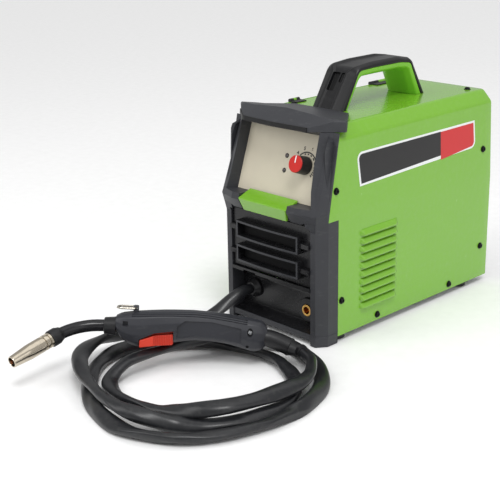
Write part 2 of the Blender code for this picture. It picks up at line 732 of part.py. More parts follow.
# ================================================================ front moulding
def head_loft(grow=0.0, top=HEAD_TOP):
    """The head of the front moulding, as a solid through its sections."""
    rings = []
    for z, face, setback, corner_y, side in HEAD_SECTIONS:
        z = top if z == HEAD_TOP else z
        rear = -GAP + grow if z < COVER_NOSE_Z else nose_y(z) - GAP + grow
        half, inner = BEZEL_HALF_WIDTH + grow, HEAD_FACE_HALF_WIDTH + grow
        right = [(half, rear), (half, side - grow), (half - setback, corner_y - grow),
                 (inner, face - grow)]
        rings.append((z, right + [(-x, y) for x, y in reversed(right)]))
    step = rings[1][1]
    front_of_cover = COVER_NOSE_Y - GAP + grow
    share = (COVER_NOSE_Z - HEAD_SECTIONS[1][0]) / (HEAD_SECTIONS[2][0] - HEAD_SECTIONS[1][0])
    blend = [(a[0] + (b[0] - a[0]) * share, a[1] + (b[1] - a[1]) * share)
             for a, b in zip(step, rings[2][1])]
    ends = (0, len(blend) - 1)
    under = [(x, -GAP + grow) if i in ends else (x, y) for i, (x, y) in enumerate(blend)]
    over = [(x, front_of_cover) if i in ends else (x, y) for i, (x, y) in enumerate(blend)]
    rings[2:2] = [(COVER_NOSE_Z - GAP, under), (COVER_NOSE_Z - GAP + 0.01, over)]
    head = loft([[(x, y, z) for x, y in ring] for z, ring in rings])
    bmesh.ops.triangulate(head, faces=head.faces)
    return head


def column_outline(side):
    """Section of a lower column, seen from above."""
    return [(side * x, y) for x, y in (
        (BEZEL_HALF_WIDTH, -GAP), (BEZEL_HALF_WIDTH, COLUMN_SIDE_FRONT),
        (BEZEL_FACE_HALF_WIDTH, COLUMN_FRONT), (COLUMN_INNER, COLUMN_FRONT),
        (COLUMN_INNER, -GAP))]


def on_panel(x, up, out):
    """A point by its place on the control panel and its height over it."""
    sine, cosine = math.sin(PANEL_TILT), math.cos(PANEL_TILT)
    return Vector((x, PANEL_BOTTOM_Y + up * sine - out * cosine,
                   PANEL_BOTTOM_Z + up * cosine + out * sine))


def panel_normal():
    """The direction out of the control panel."""
    return Vector((0, -math.cos(PANEL_TILT), math.sin(PANEL_TILT)))


def panel_ring(half_width, low, high, out):
    """Four corners on a plane parallel to the control panel."""
    return [on_panel(x, up, out) for x, up in (
        (-half_width, low), (half_width, low), (half_width, high), (-half_width, high))]


def panel_pocket():
    """The flared recess in front of the control panel, down to the panel's seat."""
    half, tall = PANEL_HALF_WIDTH + GAP, PANEL_HEIGHT + GAP
    seat = -PANEL_THICKNESS - GAP
    return loft([panel_ring(half, -GAP, tall, seat), panel_ring(half, -GAP, tall, 0),
                 panel_ring(half + 60 * PANEL_FLARE, -17, tall + 16, 60)])


def badge_profile():
    """Side view of the badge: its sloping face, its top, and the underside of both."""
    back = PANEL_BOTTOM_Y - 1.6
    return ((BADGE_FRONT + 5.6, BADGE_BOTTOM), (BADGE_FRONT, BADGE_TOP - 0.8),
            (BADGE_FRONT + 0.9, BADGE_TOP), (back, BADGE_TOP + 7.5),
            (back, BADGE_TOP + 7.5 - BADGE_THICKNESS),
            (BADGE_FRONT + 5.4, BADGE_TOP - BADGE_THICKNESS),
            (BADGE_FRONT + 5.6 + BADGE_THICKNESS, BADGE_BOTTOM))


def badge_seat():
    """What the badge takes away from the moulding."""
    profile = badge_profile()
    lower, upper = profile[6], profile[4]
    corner = profile[5]
    far = 70.0
    outline = ((-far, BADGE_BOTTOM - GAP), (lower[0] + GAP, BADGE_BOTTOM - GAP),
               (corner[0] + GAP, corner[1] - GAP), (upper[0] + GAP, upper[1] - GAP),
               (upper[0] + GAP, upper[1] + 12), (-far, upper[1] + 12))
    return prism(outline, "x", -BADGE_HALF_WIDTH - GAP, BADGE_HALF_WIDTH + GAP)


def make_bezel(root, finishes):
    """The front moulding: head, side columns, flared recess and the band inside the case."""
    tuck = case_band(SHEET + GAP, SHEET + GAP + BEZEL_WALL, COVER_NOSE_Y + 1, BEZEL_TUCK)
    columns = [prism(column_outline(side), "z", COLUMN_SEAM + GAP, OPENING_TOP + 2)
               for side in (1, -1)]
    seat = loft([panel_ring(PANEL_HALF_WIDTH + PANEL_SEAT_SIDE, -PANEL_RIM, PANEL_HEIGHT + PANEL_RIM, out)
                 for out in (-PANEL_SEAT, PANEL_SEAT_FRONT)])
    inner = PANEL_HALF_WIDTH - PANEL_LEDGE
    window = loft([panel_ring(inner, PANEL_LEDGE, PANEL_HEIGHT - PANEL_LEDGE, -40),
                   panel_ring(inner, PANEL_LEDGE, PANEL_HEIGHT - PANEL_LEDGE, 10)])
    opening = box((-COLUMN_INNER, COLUMN_INNER), (-80, 40), (-5, OPENING_TOP))
    below = box((-100, 100), (-80, 40), (-5, COLUMN_SEAM + GAP))
    tray_room = box((-100, 100), (-GAP, 40), (-4, CASE_BOTTOM + CHASSIS_LIP + GAP))
    hood_room = box((-100, 100), (-80, nose_y(HOOD_BOTTOM)), (HEAD_TOP, CASE_TOP + 20))
    behind = prism(((HEAD_SECTIONS[2][1] + 5, OPENING_TOP - 1), (40, OPENING_TOP - 1),
                    (40, PANEL_BOTTOM_Z - 6), (-14, PANEL_BOTTOM_Z - 6),
                    (HEAD_SECTIONS[2][1] + 9, BADGE_BOTTOM + 3)), "x", -62, 62)
    make_piece("front_bezel", finishes["charcoal"], head_loft(), root,
               join=(tuck, *columns, seat),
               cut=(panel_pocket(), window, opening, below, tray_room, hood_room, badge_seat(),
                    behind))


def make_bezel_foot(root, finishes):
    """The foot of the moulding: two column ends and the bar between them."""
    columns = [prism(column_outline(side), "z", FOOT_BOTTOM, COLUMN_SEAM) for side in (1, -1)]
    bar = box((-COLUMN_INNER - 1, COLUMN_INNER + 1), (COLUMN_FRONT + 1.5, -GAP),
              (FOOT_BAR_BOTTOM, COLUMN_SEAM - 0.4))
    make_piece("bezel_foot", finishes["charcoal"], bar, root, join=columns)


def make_hood(root, finishes):
    """The visor over the control panel, which caps the front of the roof."""
    rings = []
    for side, sections in ((-1, HOOD_SECTIONS), (1, HOOD_SECTIONS[-2::-1])):
        for half, front, lip, ridge_y, ridge_z, rear, rear_z in sections:
            rings.append([(side * half, y, z) for y, z in (
                (front, HOOD_BOTTOM), (front, lip), (ridge_y, ridge_z), (rear, rear_z),
                (rear, HOOD_BOTTOM))])
    over_case = case_solid(-GAP, nose_y(HOOD_BOTTOM) - GAP, 120)
    make_piece("front_hood", finishes["charcoal"], loft(rings), root, cut=(over_case,),
               smooth=20)


def make_badge(root, finishes):
    """The blank green plate on the belt."""
    lean = (BADGE_HALF_WIDTH - BADGE_FOOT_HALF_WIDTH) / (BADGE_TOP - BADGE_BOTTOM)
    far = 40.0
    wedges = []
    for side in (-1, 1):
        outline = [(side * x, z) for x, z in (
            (BADGE_FOOT_HALF_WIDTH - far * lean, BADGE_BOTTOM - far),
            (BADGE_FOOT_HALF_WIDTH, BADGE_BOTTOM), (BADGE_HALF_WIDTH, BADGE_TOP),
            (BADGE_HALF_WIDTH, BADGE_TOP + far), (BADGE_HALF_WIDTH + far, BADGE_TOP + far),
            (BADGE_HALF_WIDTH + far, BADGE_BOTTOM - far))]
        wedges.append(prism(outline, "y", -100, 20))
    shape = prism(badge_profile(), "x", -BADGE_HALF_WIDTH - 1, BADGE_HALF_WIDTH + 1)
    make_piece("bezel_badge", finishes["green"], shape, root, cut=wedges)


def make_panel(root, finishes):
    """The control panel with its knob, potentiometer and two lamps."""
    plate = loft([panel_ring(PANEL_HALF_WIDTH, 0, PANEL_HEIGHT, -PANEL_THICKNESS),
                  panel_ring(PANEL_HALF_WIDTH, 0, PANEL_HEIGHT, 0)])
    out = panel_normal()
    centre = on_panel(KNOB_X, KNOB_UP, 0)
    holes = [rod(KNOB_SHAFT_RADIUS + RUNNING_GAP, centre - 8 * out, out, 16)]
    for name, (x, up) in LED_PLACES.items():
        place = on_panel(x, up, 0)
        holes.append(rod(LED_RADIUS + GAP, place - 8 * out, out, 16, 16))
        lens = turned(((0, -6), (LED_RADIUS, -6), (LED_RADIUS, 0.4), (LED_RADIUS * 0.7, 1.3),
                       (0, 1.7)), place, out, 16)
        make_piece(name, finishes["lamp"], lens, root)
    make_piece("control_panel", finishes["beige"], plate, root, cut=(joined(*holes),))
    body = turned(((0, 1.0 - POT_DEPTH), (KNOB_SHAFT_RADIUS, 1.0 - POT_DEPTH),
                   (KNOB_SHAFT_RADIUS, RUNNING_GAP), (KNOB_RADIUS, RUNNING_GAP),
                   (KNOB_TOP_RADIUS, KNOB_HEIGHT), (0, KNOB_HEIGHT)), centre, out)
    make_piece("knob_body", finishes["black"], body, root, pivot=centre)
    cap = turned(((0, KNOB_HEIGHT + GAP), (KNOB_TOP_RADIUS, KNOB_HEIGHT + GAP),
                  (KNOB_TOP_RADIUS, KNOB_HEIGHT + KNOB_CAP - 0.5),
                  (KNOB_TOP_RADIUS - 0.6, KNOB_HEIGHT + KNOB_CAP), (0, KNOB_HEIGHT + KNOB_CAP)),
                 centre, out)
    pointer = box((-0.9, 0.9), (1.5, KNOB_TOP_RADIUS - 0.8),
                  (KNOB_HEIGHT + KNOB_CAP - 0.5, KNOB_HEIGHT + KNOB_CAP + 0.4))
    pointer.transform(aim(centre, out))
    make_piece("knob_cap", finishes["red"], cap, root, pivot=centre, join=(pointer,))
    back = -PANEL_THICKNESS - GAP
    bore = KNOB_SHAFT_RADIUS + RUNNING_GAP
    pot = turned(((0, back - POT_DEPTH), (POT_RADIUS, back - POT_DEPTH), (POT_RADIUS, back),
                  (bore, back), (bore, 0.6 - POT_DEPTH), (0, 0.6 - POT_DEPTH)), centre, out)
    make_piece("potentiometer", finishes["alloy"], pot, root)


def bowed(half_width, front, back, bow):
    """An outline seen from above whose front edge bows forward."""
    count = 8
    points = []
    for k in range(count + 1):
        share = 2 * k / count - 1
        points.append((half_width * share, front - bow * (1 - share * share)))
    return points + [(half_width, back), (-half_width, back)]


def make_grille(root, finishes):
    """The vent plate between the columns with its two bowed slot frames."""
    back = GRILLE_PLATE_FRONT + GRILLE_PLATE
    half = COLUMN_INNER - GAP
    plate = box((-half, half), (GRILLE_PLATE_FRONT, back),
                (COVE_TOP + GAP, OPENING_TOP - GAP))
    frames, slots, links = [], [], []
    for low in GRILLE_SLOTS:
        high = low + GRILLE_SLOT_HEIGHT
        middle = (low + high) / 2
        frames.append(prism(bowed(GRILLE_HALF_WIDTH, GRILLE_FRONT, back - 0.4, GRILLE_BOW),
                            "z", low, high))
        slots.append(box((GRILLE_WALL - GRILLE_HALF_WIDTH, GRILLE_HALF_WIDTH - GRILLE_WALL),
                         (-80, 20), (low + GRILLE_WALL, high - GRILLE_WALL)))
        for side in (-1, 1):
            ends = sorted((side * (GRILLE_HALF_WIDTH - 1), side * (half - 0.2)))
            links.append(box(ends, (GRILLE_FRONT + 3, back - 0.4),
                             (middle - GRILLE_LINK / 2, middle + GRILLE_LINK / 2)))
    make_piece("front_grille", finishes["black"], plate, root,
               join=(joined(*frames), joined(*links)), cut=(joined(*slots),))


def cove_line():
    """Front face of the lower recess, from its lip down to the foot."""
    low = COLUMN_SEAM + GAP
    deep = COVE_BACK - COVE_FRONT
    line = [(COVE_FRONT, COVE_TOP)]
    for degrees in (0, 25, 50, 75, 90):
        turn = math.radians(degrees)
        line.append((COVE_BACK - deep * (1 - math.sin(turn)),
                     COVE_FLAT_TOP + COVE_CURVE * math.cos(turn)))
    return line + [(COVE_BACK, COVE_FLAT_BOTTOM), (COVE_BACK - 4, low + 2),
                   (COLUMN_FRONT + 2, low)]


def make_lower_recess(root, finishes):
    """The hollow lower panel with the hose gland and the earth socket."""
    line = cove_line()
    behind = [(y + COVE_WALL, z) for y, z in line[1:-1]]
    behind = [(line[0][0] + COVE_WALL, line[0][1])] + behind + [(line[-1][0] + 6, line[-1][1])]
    half = COLUMN_INNER - GAP
    holes = [rod(GLAND_THREAD_RADIUS + GAP, (GLAND_X, -30, GLAND_Z), (0, 1, 0), 50),
             rod(SOCKET_THREAD_RADIUS + GAP, (SOCKET_X, -30, SOCKET_Z), (0, 1, 0), 50)]
    notch = box((-46, -25), (-60, COVE_FRONT + 4), (COVE_TOP - 8, COVE_TOP - 2.5))
    make_piece("lower_recess", finishes["black"], prism(line + behind[::-1], "x", -half, half),
               root, cut=(joined(*holes), notch), smooth=50)
    make_gland(root, finishes)
    make_socket(root, finishes)


def make_gland(root, finishes):
    """The gland that the hose leaves by, and its nut inside."""
    face = COVE_BACK - GAP
    inner = COVE_BACK + COVE_WALL + GAP
    depth = inner - face + 7
    body = turned(((0, -depth), (GLAND_THREAD_RADIUS, -depth), (GLAND_THREAD_RADIUS, 0),
                   (GLAND_RADIUS, 0), (GLAND_RADIUS, 3), (GLAND_RADIUS - 2, 5),
                   (GLAND_THREAD_RADIUS, GLAND_LENGTH - 1), (GLAND_THREAD_RADIUS - 1, GLAND_LENGTH),
                   (0, GLAND_LENGTH)), (GLAND_X, face, GLAND_Z), (0, -1, 0))
    make_piece("hose_gland", finishes["black"], body, root)
    bore = GLAND_THREAD_RADIUS + GAP
    nut_hole = rod(bore, (GLAND_X, inner - 2, GLAND_Z), (0, 1, 0), 12)
    nut = rod(GLAND_RADIUS, (GLAND_X, inner, GLAND_Z), (0, 1, 0), 5, 6)
    make_piece("gland_nut", finishes["black"], nut, root, cut=(nut_hole,), smooth=None)


def make_socket(root, finishes):
    """The earth lead's socket: a black body with a brass bush."""
    face = COVE_BACK - GAP
    depth = COVE_WALL + 12
    bore = SOCKET_BRASS_RADIUS + GAP
    body = turned(((0, -depth + 2), (bore, -depth + 2), (bore, 3), (SOCKET_RADIUS - 1, 3),
                   (SOCKET_RADIUS, 2), (SOCKET_RADIUS, 0), (SOCKET_THREAD_RADIUS, 0),
                   (SOCKET_THREAD_RADIUS, -depth), (0, -depth)),
                  (SOCKET_X, face, SOCKET_Z), (0, -1, 0), FINE_ROUND)
    make_piece("socket_body", finishes["black"], body, root)
    end = -depth + 2 + GAP
    bush = turned(((0, end), (SOCKET_BRASS_RADIUS, end), (SOCKET_BRASS_RADIUS, 4.2),
                   (SOCKET_BORE, 4.2), (SOCKET_BORE, end + 3), (0, end + 3)),
                  (SOCKET_X, face, SOCKET_Z), (0, -1, 0))
    make_piece("socket_bush", finishes["brass"], bush, root)


# ================================================================ handle
def handle_ring(points, widths, lift):
    """A four-cornered ring between two (y, z) points with their half widths."""
    (y0, z0), (y1, z1) = points
    wide0, wide1 = widths
    return [(-wide0, y0, z0 + lift), (wide0, y0, z0 + lift), (wide1, y1, z1 + lift),
            (-wide1, y1, z1 + lift)]


def make_handle(root, finishes):
    """The carrying handle: a black shell outside and a green liner inside."""
    lift = CASE_TOP + GAP
    shell, liner = [], []
    for outer, split, inner in HANDLE_STATIONS:
        middle = ((outer[0] + split[0]) / 2, (outer[1] + split[1]) / 2)
        ring = handle_ring((outer, split), (HANDLE_TOP_HALF_WIDTH, HANDLE_HALF_WIDTH), lift)
        ring[2:2] = [(HANDLE_HALF_WIDTH, middle[0], middle[1] + lift)]
        ring.append((-HANDLE_HALF_WIDTH, middle[0], middle[1] + lift))
        shell.append(ring)
        away = (Vector(inner) - Vector(split)).normalized() * GAP
        seam = (split[0] + away[0], split[1] + away[1])
        liner.append(handle_ring((seam, inner), (LINER_HALF_WIDTH, LINER_GRIP_HALF_WIDTH), lift))
    make_piece("handle_shell", finishes["black"], loft(shell), root, smooth=25)
    make_piece("handle_liner", finishes["green"], loft(liner), root, smooth=25)


# ================================================================ rear
def make_rear_panel(root, finishes):
    """The sheet that closes the back, with a flange behind each side screw."""
    inset = SHEET + GAP
    plate = case_solid(inset, REAR_PANEL_Y, REAR_PANEL_Y + SHEET)
    flanges = []
    for side in (-1, 1):
        outer = side * (CASE_HALF_WIDTH - inset)
        inner = side * (CASE_HALF_WIDTH - inset - SHEET)
        flanges.append(box(sorted((outer, inner)), (REAR_PANEL_Y - 20, REAR_PANEL_Y + 0.5),
                           (38, 80)))
    fan_hole = rod(FAN_BORE - 1, (FAN_X, REAR_PANEL_Y - 10, FAN_Z), (0, 1, 0), 20, FINE_ROUND)
    inlet_hole = rod(INLET_THREAD_RADIUS + GAP, (INLET_X, REAR_PANEL_Y - 10, INLET_Z),
                     (0, 1, 0), 20)
    wide, tall = SWITCH_HALF_WIDTH + GAP, SWITCH_HALF_HEIGHT + GAP
    switch_hole = box((SWITCH_X - wide, SWITCH_X + wide), (REAR_PANEL_Y - 10, REAR_PANEL_Y + 10),
                      (SWITCH_Z - tall, SWITCH_Z + tall))
    make_piece("rear_panel", finishes["charcoal"], plate, root, join=(joined(*flanges),),
               cut=(joined(fan_hole, inlet_hole, switch_hole),))


def make_fan(root, finishes):
    """The cooling fan: frame, rotor and the guard outside the rear panel."""
    back = REAR_PANEL_Y - GAP
    front = back - FAN_DEPTH
    half = FAN_SIZE / 2
    square = box((FAN_X - half, FAN_X + half), (front, back), (FAN_Z - half, FAN_Z + half))
    bore = rod(FAN_BORE, (FAN_X, front - 5, FAN_Z), (0, 1, 0), FAN_DEPTH + 10, FINE_ROUND)
    hub = rod(FAN_HUB, (FAN_X, back - 8, FAN_Z), (0, 1, 0), 7.6)
    reach = FAN_BORE + 1
    bars = [box((FAN_X - reach, FAN_X + reach), (back - 7.5, back - 0.8),
                (FAN_Z - 2, FAN_Z + 2)),
            box((FAN_X - 2, FAN_X + 2), (back - 7.4, back - 0.9), (FAN_Z - reach, FAN_Z + reach))]
    pin = 2.0
    bearing = rod(pin + RUNNING_GAP, (FAN_X, back - 9, FAN_Z), (0, 1, 0), 6.4, 16)
    frame = make_piece("fan_frame", finishes["black"], square, root, cut=(bore,))
    combine(frame, (*bars, hub), "UNION", root)
    combine(frame, (bearing,), "DIFFERENCE", root)
    make_fan_rotor(root, finishes, front, back - 8 - RUNNING_GAP, pin)
    rings = []
    for radius in (13.0, 23.0, 33.0, FAN_BORE + 3):
        rings.append(turned(((radius, 0), (radius + GUARD_BAR, 0),
                             (radius + GUARD_BAR, GUARD_BAR), (radius, GUARD_BAR)),
                            (FAN_X, REAR_PANEL_Y + SHEET + GAP, FAN_Z), (0, 1, 0), ROUND,
                            ring=True))
    low = REAR_PANEL_Y + SHEET + GAP + 0.3
    spokes = [box((FAN_X - reach - 3, FAN_X + reach + 3), (low, low + GUARD_BAR),
                  (FAN_Z - 1, FAN_Z + 1)),
              box((FAN_X - 1, FAN_X + 1), (low + 0.05, low + GUARD_BAR + 0.05),
                  (FAN_Z - reach - 3, FAN_Z + reach + 3))]
    make_piece("fan_guard", finishes["zinc"], spokes[0], root,
               join=(spokes[1], joined(*rings)))


def make_fan_rotor(root, finishes, front, rear, pin):
    """The fan's hub and shaft with blades that wind round it."""
    hub = FAN_HUB - 0.5
    tip = FAN_BORE - FAN_TIP_GAP
    pitch = 2 * math.pi / FAN_BLADES
    rings = []
    levels = 5
    for level in range(levels):
        share = level / (levels - 1)
        ring = []
        for blade in range(FAN_BLADES):
            middle = blade * pitch + FAN_TWIST * share
            for radius, off in ((hub, -0.3 * pitch), (hub, -0.5 * FAN_BLADE_WALL / hub),
                                (tip, -0.5 * FAN_BLADE_WALL / tip),
                                (tip, 0.5 * FAN_BLADE_WALL / tip),
                                (hub, 0.5 * FAN_BLADE_WALL / hub), (hub, 0.3 * pitch)):
                angle = middle + off
                ring.append((FAN_X + radius * math.sin(angle), front + 1.5
                             + (rear - front - 1.5) * share, FAN_Z + radius * math.cos(angle)))
        rings.append(ring)
    shaft = rod(pin, (FAN_X, rear - 2, FAN_Z), (0, 1, 0), 7, 16)
    make_piece("fan_rotor", finishes["black"], loft(rings), root, pivot=(FAN_X, front, FAN_Z),
               join=(shaft,), smooth=25)


def make_switch(root, finishes):
    """The mains rocker switch: its body in the rear panel and its rocker."""
    outside = REAR_PANEL_Y + SHEET + GAP
    wide, tall = SWITCH_HALF_WIDTH, SWITCH_HALF_HEIGHT
    body = box((SWITCH_X - wide, SWITCH_X + wide), (outside - 18, outside + 0.5),
               (SWITCH_Z - tall, SWITCH_Z + tall))
    flange = box((SWITCH_X - wide - 3, SWITCH_X + wide + 3), (outside, outside + 1.7),
                 (SWITCH_Z - tall - 3, SWITCH_Z + tall + 3))
    pocket = box((SWITCH_X - wide + 2, SWITCH_X + wide - 2), (outside - 9, outside + 20),
                 (SWITCH_Z - tall + 2, SWITCH_Z + tall - 2))
    make_piece("switch_body", finishes["black"], body, root, join=(flange,), cut=(pocket,))
    reach = tall - 3
    rocker = prism(((-1.5, 1 - reach), (4.6, -reach), (2.6, 0), (4.6, reach), (-1.5, reach - 1)),
                   "x", GAP + 2 - wide, wide - 2 - GAP)
    pivot = (SWITCH_X, outside - 4.5, SWITCH_Z)
    rocker.transform(Matrix.Translation(pivot) @ Matrix.Rotation(-SWITCH_THROW, 4, "X"))
    make_piece("switch_rocker", finishes["black"], rocker, root, pivot=pivot)


def make_inlet(root, finishes):
    """The gland for the mains lead in the rear panel."""
    outside = REAR_PANEL_Y + SHEET + GAP
    body = turned(((INLET_BORE, -9), (INLET_THREAD_RADIUS, -9), (INLET_THREAD_RADIUS, 0),
                   (INLET_RADIUS, 0), (INLET_RADIUS, 4), (INLET_THREAD_RADIUS, 9),
                   (INLET_BORE, 9)), (INLET_X, outside, INLET_Z), (0, 1, 0), ring=True)
    make_piece("mains_gland", finishes["black"], body, root)


# ================================================================ wire side
def make_spool(root, finishes):
    """The wire reel with its winding, spindle and nut."""
    wall = DIVIDER_X - GAP
    left = (-1, 0, 0)
    foot = (wall, SPOOL_Y, SPOOL_Z)
    spindle = turned(((0, 0), (20, 0), (20, 3), (14, 3), (14, SPINDLE_SHOULDER),
                      (SPINDLE_RADIUS, SPINDLE_SHOULDER), (SPINDLE_RADIUS, SPINDLE_LENGTH),
                      (0, SPINDLE_LENGTH)), foot, left)
    make_piece("spool_spindle", finishes["alloy"], spindle, root)
    bore = SPINDLE_RADIUS + RUNNING_GAP
    start = SPINDLE_SHOULDER + RUNNING_GAP
    centre = (wall - start, SPOOL_Y, SPOOL_Z)
    far = SPOOL_WIDTH - SPOOL_FLANGE
    reel = turned(((bore, 0), (SPOOL_RADIUS, 0), (SPOOL_RADIUS, SPOOL_FLANGE),
                   (SPOOL_HUB, SPOOL_FLANGE), (SPOOL_HUB, far), (SPOOL_RADIUS, far),
                   (SPOOL_RADIUS, SPOOL_WIDTH), (bore, SPOOL_WIDTH)), centre, left, FINE_ROUND,
                  ring=True)
    make_piece("wire_spool", finishes["reel"], reel, root, pivot=centre)
    low, high = SPOOL_FLANGE + GAP, far - GAP
    winding = turned(((SPOOL_HUB + GAP, low), (WINDING_RADIUS, low), (WINDING_RADIUS, high),
                      (SPOOL_HUB + GAP, high)), centre, left, FINE_ROUND, ring=True)
    make_piece("wire_winding", finishes["copper"], winding, root, pivot=centre)
    edge = start + SPOOL_WIDTH + RUNNING_GAP
    nut_bore = SPINDLE_RADIUS + GAP
    nut = turned(((nut_bore, edge), (13, edge), (13, SPINDLE_LENGTH - 1), (nut_bore,
                  SPINDLE_LENGTH - 1)), foot, left, ROUND, ring=True)
    make_piece("spool_nut", finishes["black"], nut, root)


def make_feeder(root, finishes):
    """The wire feeder: plate, motor, both rolls, the swinging arm and its tension knob."""
    face = DIVIDER_X - GAP - FEEDER_THICKNESS
    out = face - 1.2
    roll_left = out - ROLL_WIDTH
    arm_right = roll_left - 0.8
    arm_left = arm_right - ARM_THICKNESS
    pressure_z = ROLL_Z + DRIVE_ROLL_RADIUS + PRESSURE_ROLL_RADIUS + 0.6
    pin = 2.5
    plate = box((face, DIVIDER_X - GAP), FEEDER_Y, FEEDER_Z)
    pivot_pin = rod(pin, (face + 1, ARM_PIVOT_Y, pressure_z), (-1, 0, 0), face + 1 - arm_left, 16)
    hole = rod(ROLL_AXLE_RADIUS + RUNNING_GAP, (face - 5, ROLL_Y, ROLL_Z), (1, 0, 0), 15)
    make_piece("feeder_plate", finishes["alloy"], plate, root, join=(pivot_pin,), cut=(hole,))
    bite = DIVIDER_X + SHEET + GAP
    motor = turned(((0, MOTOR_LENGTH), (MOTOR_RADIUS, MOTOR_LENGTH), (MOTOR_RADIUS, 0),
                    (ROLL_AXLE_RADIUS + RUNNING_GAP, 0), (ROLL_AXLE_RADIUS + RUNNING_GAP, 12),
                    (0, 12)), (bite, ROLL_Y, ROLL_Z), (1, 0, 0))
    make_piece("feed_motor", finishes["zinc"], motor, root)
    groove = DRIVE_ROLL_RADIUS - 0.8
    width = ROLL_WIDTH
    centre = (roll_left, ROLL_Y, ROLL_Z)
    axle_end = bite + 11 - roll_left
    drive = turned(((0, 0), (DRIVE_ROLL_RADIUS, 0), (DRIVE_ROLL_RADIUS, width * 0.4),
                    (groove, width / 2), (DRIVE_ROLL_RADIUS, width * 0.6),
                    (DRIVE_ROLL_RADIUS, width), (ROLL_AXLE_RADIUS, width),
                    (ROLL_AXLE_RADIUS, axle_end), (0, axle_end)), centre, (1, 0, 0))
    make_piece("drive_roll", finishes["zinc"], drive, root, pivot=centre)
    bore = pin + RUNNING_GAP
    pressure_centre = (roll_left, ROLL_Y, pressure_z)
    pressure = turned(((bore, 0), (PRESSURE_ROLL_RADIUS, 0), (PRESSURE_ROLL_RADIUS, width),
                       (bore, width)), pressure_centre, (1, 0, 0), ring=True)
    make_piece("pressure_roll", finishes["zinc"], pressure, root, pivot=pressure_centre)
    make_arm(root, finishes, arm_left, arm_right, out, pressure_z, pin)


def make_arm(root, finishes, left, right, roll_right, level, pin):
    """The arm that carries the pressure roll, and the knob on its end."""
    pivot = (left, ARM_PIVOT_Y, level)
    outline = ((ARM_PIVOT_Y - 7, level - 5), (ARM_PIVOT_Y - 4, level - 7),
               (ROLL_Y, level - 6), (ARM_END_Y, level + 1), (ARM_END_Y, level + 9),
               (ROLL_Y, level + 8), (ARM_PIVOT_Y - 3, level + 7), (ARM_PIVOT_Y - 7, level + 4))
    pad_low, pad_high = level - 0.5, level + 9
    knob_x, knob_y = right + 4.2, ARM_END_Y - 6
    pad = box((right - 1, right + 11), (ARM_END_Y - 12, ARM_END_Y - 0.5), (pad_low, pad_high))
    axle = rod(pin, (right - 1, ROLL_Y, level), (1, 0, 0), roll_right - right + 0.7, 16)
    pivot_hole = rod(pin + RUNNING_GAP, (left - 5, ARM_PIVOT_Y, level), (1, 0, 0), 12, 16)
    stem = 2.2
    stem_hole = rod(stem + GAP, (knob_x, knob_y, pad_low + 2), (0, 0, 1), 20, 16)
    make_piece("pressure_arm", finishes["black"], prism(outline, "x", left, right), root,
               pivot=pivot, join=(pad, axle), cut=(pivot_hole, stem_hole))
    seat = pad_high + GAP
    knob = turned(((0, pad_low + 2.6 - seat), (stem, pad_low + 2.6 - seat), (stem, 0), (5, 0),
                   (5, 3), (7.2, 4), (7.2, 13), (6.4, 14), (0, 14)),
                  (knob_x, knob_y, seat), (0, 0, 1), 16)
    make_piece("tension_knob", finishes["red"], knob, root, pivot=(knob_x, knob_y, seat))


# ================================================================ electronics side
def make_electronics(root, finishes):
    """The circuit board on its standoffs, the heat sink and the choke."""
    board = box(BOARD_X, BOARD_Y, (BOARD_Z, BOARD_Z + BOARD_THICKNESS))
    floor = CASE_BOTTOM + SHEET + GAP
    standoffs = []
    for x in (BOARD_X[0] + 12, BOARD_X[1] - 6):
        for y in (BOARD_Y[0] + 6, BOARD_Y[1] - 6):
            foot = floor + SHEET + GAP if x < DIVIDER_X + SHEET + DIVIDER_FOOT + 4 else floor
            standoffs.append(rod(3, (x, y, foot), (0, 0, 1), BOARD_Z + 0.5 - foot, 12))
    make_piece("circuit_board", finishes["board"], board, root, join=(joined(*standoffs),))
    low = BOARD_Z + BOARD_THICKNESS + GAP
    pitch = (SINK_X[1] - SINK_X[0]) / (2 * SINK_FINS - 1)
    outline = [(SINK_X[0], low), (SINK_X[1], low)]
    for k in range(SINK_FINS):
        right = SINK_X[1] - 2 * k * pitch
        left = right - pitch
        outline += [(right, low + SINK_HEIGHT), (left, low + SINK_HEIGHT)]
        if k < SINK_FINS - 1:
            outline += [(left, low + 5), (left - pitch, low + 5)]
    make_piece("heat_sink", finishes["alloy"], prism(outline, "y", *SINK_Y), root)
    core = box(CHOKE_X, CHOKE_Y, (low, low + CHOKE_HEIGHT))
    coil = box((CHOKE_X[0] + 10, CHOKE_X[1] - 10), (CHOKE_Y[0] - 7, CHOKE_Y[1] + 7),
               (low + 4, low + CHOKE_HEIGHT - 6))
    make_piece("output_choke", finishes["copper"], core, root, join=(coil,))


# ================================================================ torch
def torch_frame():
    """The torch's axes: forward along the handle, to its left, and up."""
    level = Vector((-math.sin(TORCH_HEADING), -math.cos(TORCH_HEADING), 0))
    forward = level * math.cos(TORCH_PITCH) + Vector((0, 0, math.sin(TORCH_PITCH)))
    left = Vector((0, 0, 1)).cross(forward).normalized()
    up = forward.cross(left)
    rolled_left = math.cos(TORCH_ROLL) * left + math.sin(TORCH_ROLL) * up
    rolled_up = forward.cross(rolled_left)
    turn = Matrix((forward, rolled_left, rolled_up)).transposed().to_4x4()
    return Matrix.Translation(TORCH_PLACE) @ turn


def torch_empty(root):
    """The empty that carries the torch."""
    empty = bpy.data.objects.new("torch_place", None)
    bpy.context.scene.collection.objects.link(empty)
    empty.parent = root
    matrix = torch_frame()
    matrix.translation *= MILLIMETRE
    empty.matrix_local = matrix
    return empty


